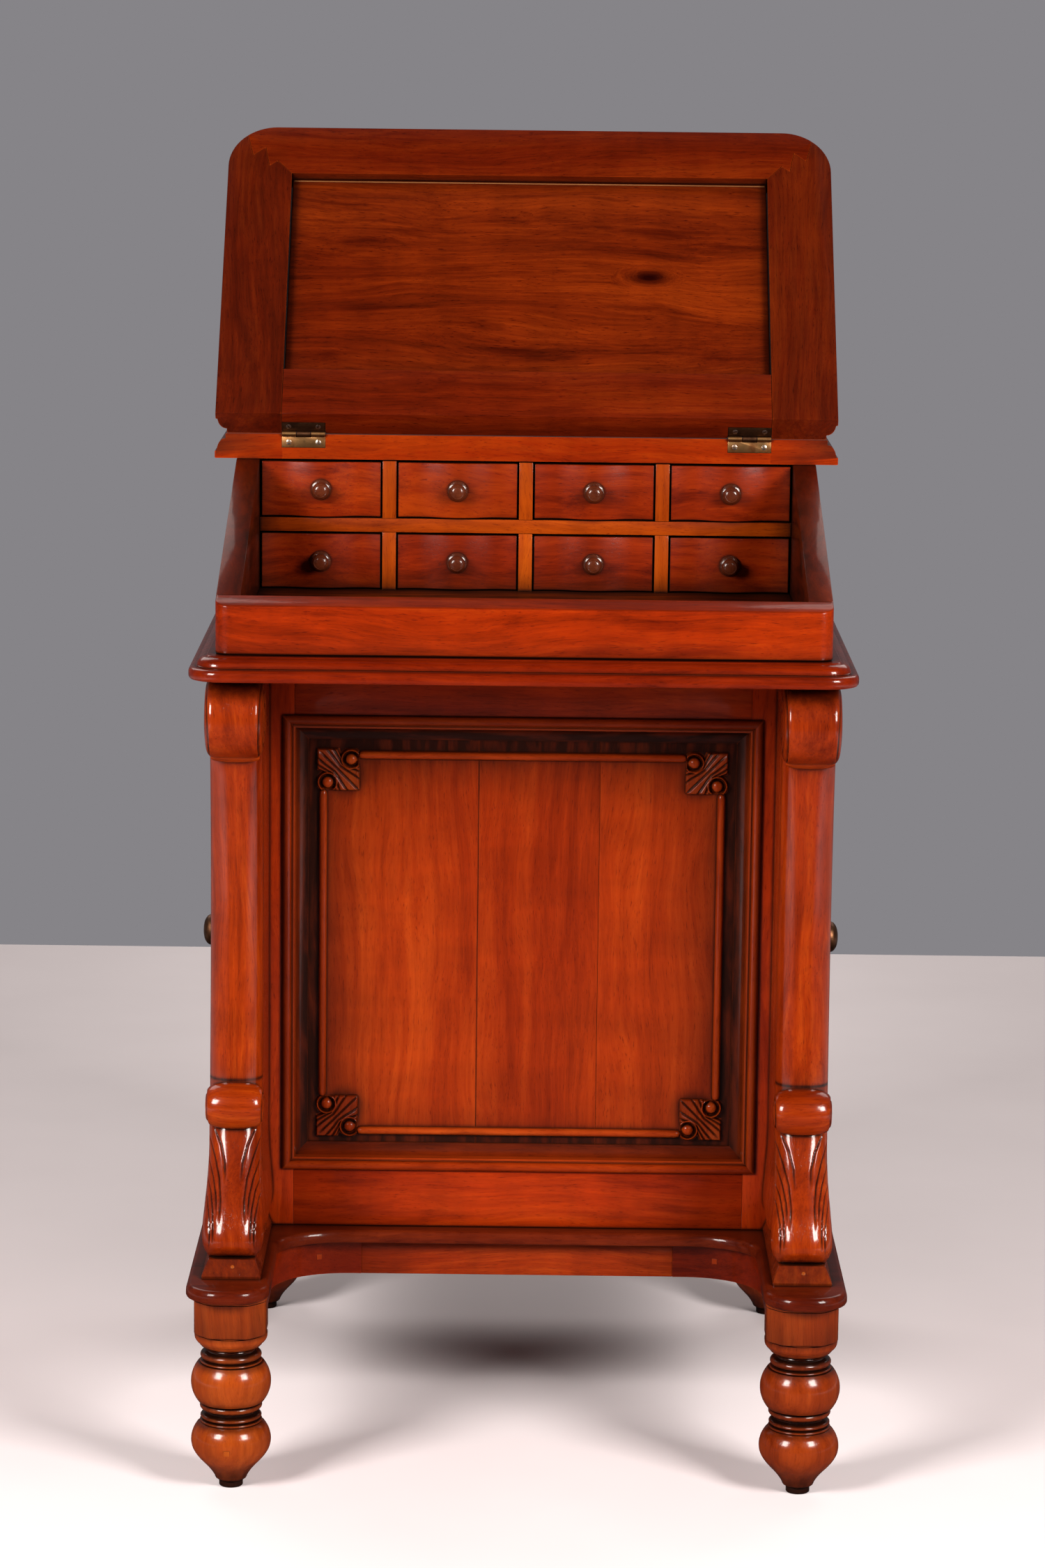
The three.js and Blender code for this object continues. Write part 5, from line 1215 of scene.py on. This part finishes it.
BOARD_LOW = 824.8
PIN = Vector((0, 47.5, 846.6))
HINGE_X = 193
LEAF_HALF = 18.95
hinge_room = along_x([(45.8, 834.4), (49.2, 834.4), (49.2, 850), (45.8, 850)], (-LEAF_HALF, LEAF_HALF))
board_blank = moulded(rounded(540, -80, 290, 14, 14), cove_edge(21.5)).shifted(z=BOARD_LOW)
board_blank = cut(board_blank, *[hinge_room.shifted(x=s * HINGE_X) for s in (-1, 1)])
boards = []
for xs in ((-300, -211.2), (-211.2, 211.2), (211.2, 300)):
    part = common(board_blank, block(xs, (BOARD_FRONT, 400), (800, 900)))
    # Wax darkens the hollow of the moulding at each end
    part.wax_and_shade = [0.75 if abs(p.x) > 259 and p.z > BOARD_LOW + 6 else 0.0 for p in part.points]
    boards.append((part, SIDE, UP))
piece("fixed_board", boards, mahogany_box, replaces=["fixed_top_board"])


# Lid

# The lid is drawn flat: Y up the lid from the pin, Z out of its inner face
slab = Matrix.Translation(PIN) @ Matrix.Rotation(math.radians(49.4), 4, "X")
tilt = slab.to_3x3()
to_shut = Matrix.Rotation(-math.pi - SLOPE, 4, "X")
INNER, LID_END, LID_X, HOLE_X, HOLE_LOW, HOLE_HIGH = 20.93, 318.8, 268.7, 211.7, 53.7, 267.1
PANEL_FACE, PANEL_THICK, LEATHER_THICK = INNER - 9, 9.3, 1.1
edge = [(inset, INNER - height) for inset, height in cove_edge(20.8)]
lid_blank = moulded(rounded(2 * LID_X, -100, LID_END, 43, 43, 16), edge)
# With the lid shut, its end meets the fixed board in an upright plane
waste = block((-400, 400), (-0.1, 300), (-300, 300)).moved(to_shut)
leaf_room = block((-LEAF_HALF, LEAF_HALF), (-1.7, 4), (-12.2, 8)).moved(to_shut)
lid_blank = cut(lid_blank, waste, *[leaf_room.shifted(x=s * HINGE_X) for s in (-1, 1)])


def lid_part(outline):
    return common(lid_blank, prism(outline, -10, 40))


# Half the width of the joint lines, and the zigzag of the joint at the right top corner
gap = 0.16
zigzag = [(225, 281), (232, 275), (236, 296), (247, 287), (252, 308), (275, 345)]
rail_end = [(x - gap, y + gap) for x, y in zigzag]
top_rail = lid_part([(-HOLE_X + gap, HOLE_HIGH), (HOLE_X - gap, HOLE_HIGH)]
                    + rail_end + [(-x, y) for x, y in rail_end[::-1]])
lid_boards = [(top_rail, SIDE)]
stile_line = ([(HOLE_X + gap, -50), (HOLE_X + gap, HOLE_HIGH)]
              + [(x + gap, y - gap) for x, y in zigzag] + [(400, 345), (400, -50)])
for _, sign in SIDES:
    stile = lid_part([(sign * x, y) for x, y in stile_line][::-sign])
    # Painted shade: the stiles are made darker than the rails
    stile.wax_and_shade = [0.38] * len(stile.points)
    lid_boards.append((stile, BACK))
low_rail = lid_part([(-HOLE_X + gap, -50), (HOLE_X - gap, -50), (HOLE_X - gap, HOLE_LOW),
                     (-HOLE_X + gap, HOLE_LOW)])
lid_boards.append((eased(low_rail, 0.5), SIDE))
piece("lid_frame_boards", [
    (form.moved(slab), tilt @ Vector(along), tilt @ Vector(UP)) for form, along in lid_boards
], mahogany_lid, "lid", replaces=["lid_frame"])

seat_x, seat_y = (-HOLE_X + 0.3, HOLE_X - 0.3), (HOLE_LOW + 0.3, HOLE_HIGH - 0.3)
sunk = eased(block(seat_x, seat_y, (PANEL_FACE - PANEL_THICK, PANEL_FACE)), 0.9, 3)
piece("lid_panel_board", [(sunk.moved(slab), SIDE, tilt @ Vector(UP))], mahogany_lid_panel,
      "lid", replaces=["lid_panel"])
# Pale old filler shows as a thin line where the panel meets the top rail
filler = block((-HOLE_X + 2, HOLE_X - 2), (HOLE_HIGH - 2.6, HOLE_HIGH - 1.5), (INNER - 12, INNER - 8.8))
piece("lid_panel_filler", [(eased(filler, 0.3).moved(slab), SIDE, UP)], inner_wood, "lid")
hide_top = PANEL_FACE - PANEL_THICK - 0.3
hide = eased(block(seat_x, seat_y, (hide_top - LEATHER_THICK, hide_top)), 0.4)
piece("lid_writing_leather", [(hide.moved(slab), SIDE, UP)], leather, "lid",
      replaces=["lid_leather"])
for side, sign in SIDES:
    shut = Matrix.Translation(PIN + Vector((sign * HINGE_X, 0, 0)))
    hinge(f"lid_hinge_{side}_board", 37.5, True, shut, "root", brass)
    opened = shut @ Matrix.Rotation(-math.radians(148), 4, "X")
    hinge(f"lid_hinge_{side}_lid", 37.5, False, opened, "lid", brass_dark)


# Studio

def studio_floor_paint():
    """Matt white floor paint. Painted reflection: glossy rays see it pale at the sides, where the polish
    mirrors it as a satin line on what is round, and near black in the middle, which keeps the flat boards
    deep."""
    made, tree = new_finish("studio_floor_paint")
    here = node(tree, "TexCoord").outputs["Object"]
    mottle = node(tree, "TexNoise", {"Vector": here, "Scale": 3, "Detail": 3})
    base = node(tree, "ValToRGB", {"Fac": mottle}, stops=((0.3, colour("#ece4e7")), (0.7, colour("#f2eaed"))))
    across = node(tree, "Math", {0: node(tree, "SeparateXYZ", {"Vector": here})}, operation="ABSOLUTE")
    # Painted reflection: glossy rays see the floor near black in the middle and paler towards the sides
    painted_reflection = node(tree, "MapRange", {"Value": across, 1: 0.8, 2: 1.5, 3: 0.06, 4: 0.8})
    glossy = node(tree, "LightPath").outputs["Is Glossy Ray"]
    mirrored = node(tree, "MapRange", {"Value": glossy, 3: 1.0, 4: painted_reflection})
    shown = node(tree, "VectorMath", {0: base, "Scale": mirrored}, operation="SCALE")
    node(tree, "OutputMaterial", {"Surface": node(tree, "BsdfDiffuse", {"Color": shown})})
    return made


FLOOR_HALF, FLOOR_END = 7, 1.84
floor_mesh = bpy.data.meshes.new("studio_floor")
floor_mesh.from_pydata([
    (-FLOOR_HALF, -FLOOR_HALF, 0), (FLOOR_HALF, -FLOOR_HALF, 0), (FLOOR_HALF, FLOOR_END, 0),
    (-FLOOR_HALF, FLOOR_END, 0)], [], [(0, 1, 2, 3)])
floor_mesh.materials.append(studio_floor_paint())
in_scene("studio_floor", floor_mesh)

world = bpy.data.worlds.new("studio")
bpy.context.scene.world = world
world.use_nodes = True
sky = world.node_tree
sky.nodes.clear()
rays = node(sky, "LightPath")
camera_ray, glossy_ray, through_ray = (
    rays.outputs[f"Is {kind} Ray"] for kind in ("Camera", "Glossy", "Transmission"))
seen = node(sky, "Math", {0: camera_ray, 1: glossy_ray}, operation="MAXIMUM")
seen = node(sky, "Math", {0: seen, 1: through_ray}, operation="MAXIMUM")
fill = node(sky, "Background", {"Color": colour("#fdf4f2"), "Strength": 0.07})
# What the polish mirrors: the grey wall behind the desk, and the darkened studio in front of it
heading = node(sky, "SeparateXYZ", {"Vector": node(sky, "TexCoord").outputs["Generated"]}).outputs["Y"]
behind = node(sky, "MapRange", {"Value": heading, 1: -0.15, 2: 0.25, 3: 0.0, 4: 1.0})
behind = node(sky, "Math", {0: behind, 1: camera_ray}, operation="MAXIMUM")
wall = node(sky, "Mix", {"Factor": camera_ray, 6: colour("#5c5a5d"), 7: colour("#868488")}, data_type="RGBA")
wall = node(sky, "Mix", {"Factor": behind, 6: colour("#1c1a1a"), 7: wall}, data_type="RGBA")
wall = node(sky, "Background", {"Color": wall, "Strength": 1.0})
both = node(sky, "MixShader", {0: seen, 1: fill, 2: wall})
node(sky, "OutputWorld", {"Surface": both})


def soft_box(name, azimuth, distance, height, size, power):
    lamp = bpy.data.lights.new(name, "AREA")
    lamp.shape, lamp.size, lamp.size_y, lamp.energy = "RECTANGLE", size[0], size[1], power
    lamp.color = colour("#fff8f2")[:3]
    made = in_scene(name, lamp)
    turn = math.radians(azimuth)
    made.location = (distance * math.sin(turn), -distance * math.cos(turn), height)
    made.rotation_euler = (Vector((0, 0, 0.55)) - made.location).to_track_quat("-Z", "Y").to_euler()


soft_box("soft_box_left", -40, 2.6, 1.6, (0.83, 0.95), 90)
soft_box("soft_box_right", 40, 2.6, 1.6, (0.83, 0.95), 90)
soft_box("soft_box_behind_left", -145, 2.5, 2.6, (1.6, 1.6), 20)
soft_box("soft_box_behind_right", 145, 2.5, 2.6, (1.6, 1.6), 20)

lens = bpy.data.cameras.new("camera")
lens.lens, lens.sensor_width, lens.sensor_fit = 105, 36, "AUTO"
camera = in_scene("camera", lens)
camera.matrix_world = (
    Matrix.Translation((0, -3.899, 1.254))
    @ Matrix.Rotation(math.radians(90 - 10.24), 4, "X") @ Matrix.Rotation(0.0118, 4, "Z")
)
bpy.context.scene.camera = camera
bpy.context.scene.view_settings.view_transform = "Standard"

bpy.context.view_layer.update()
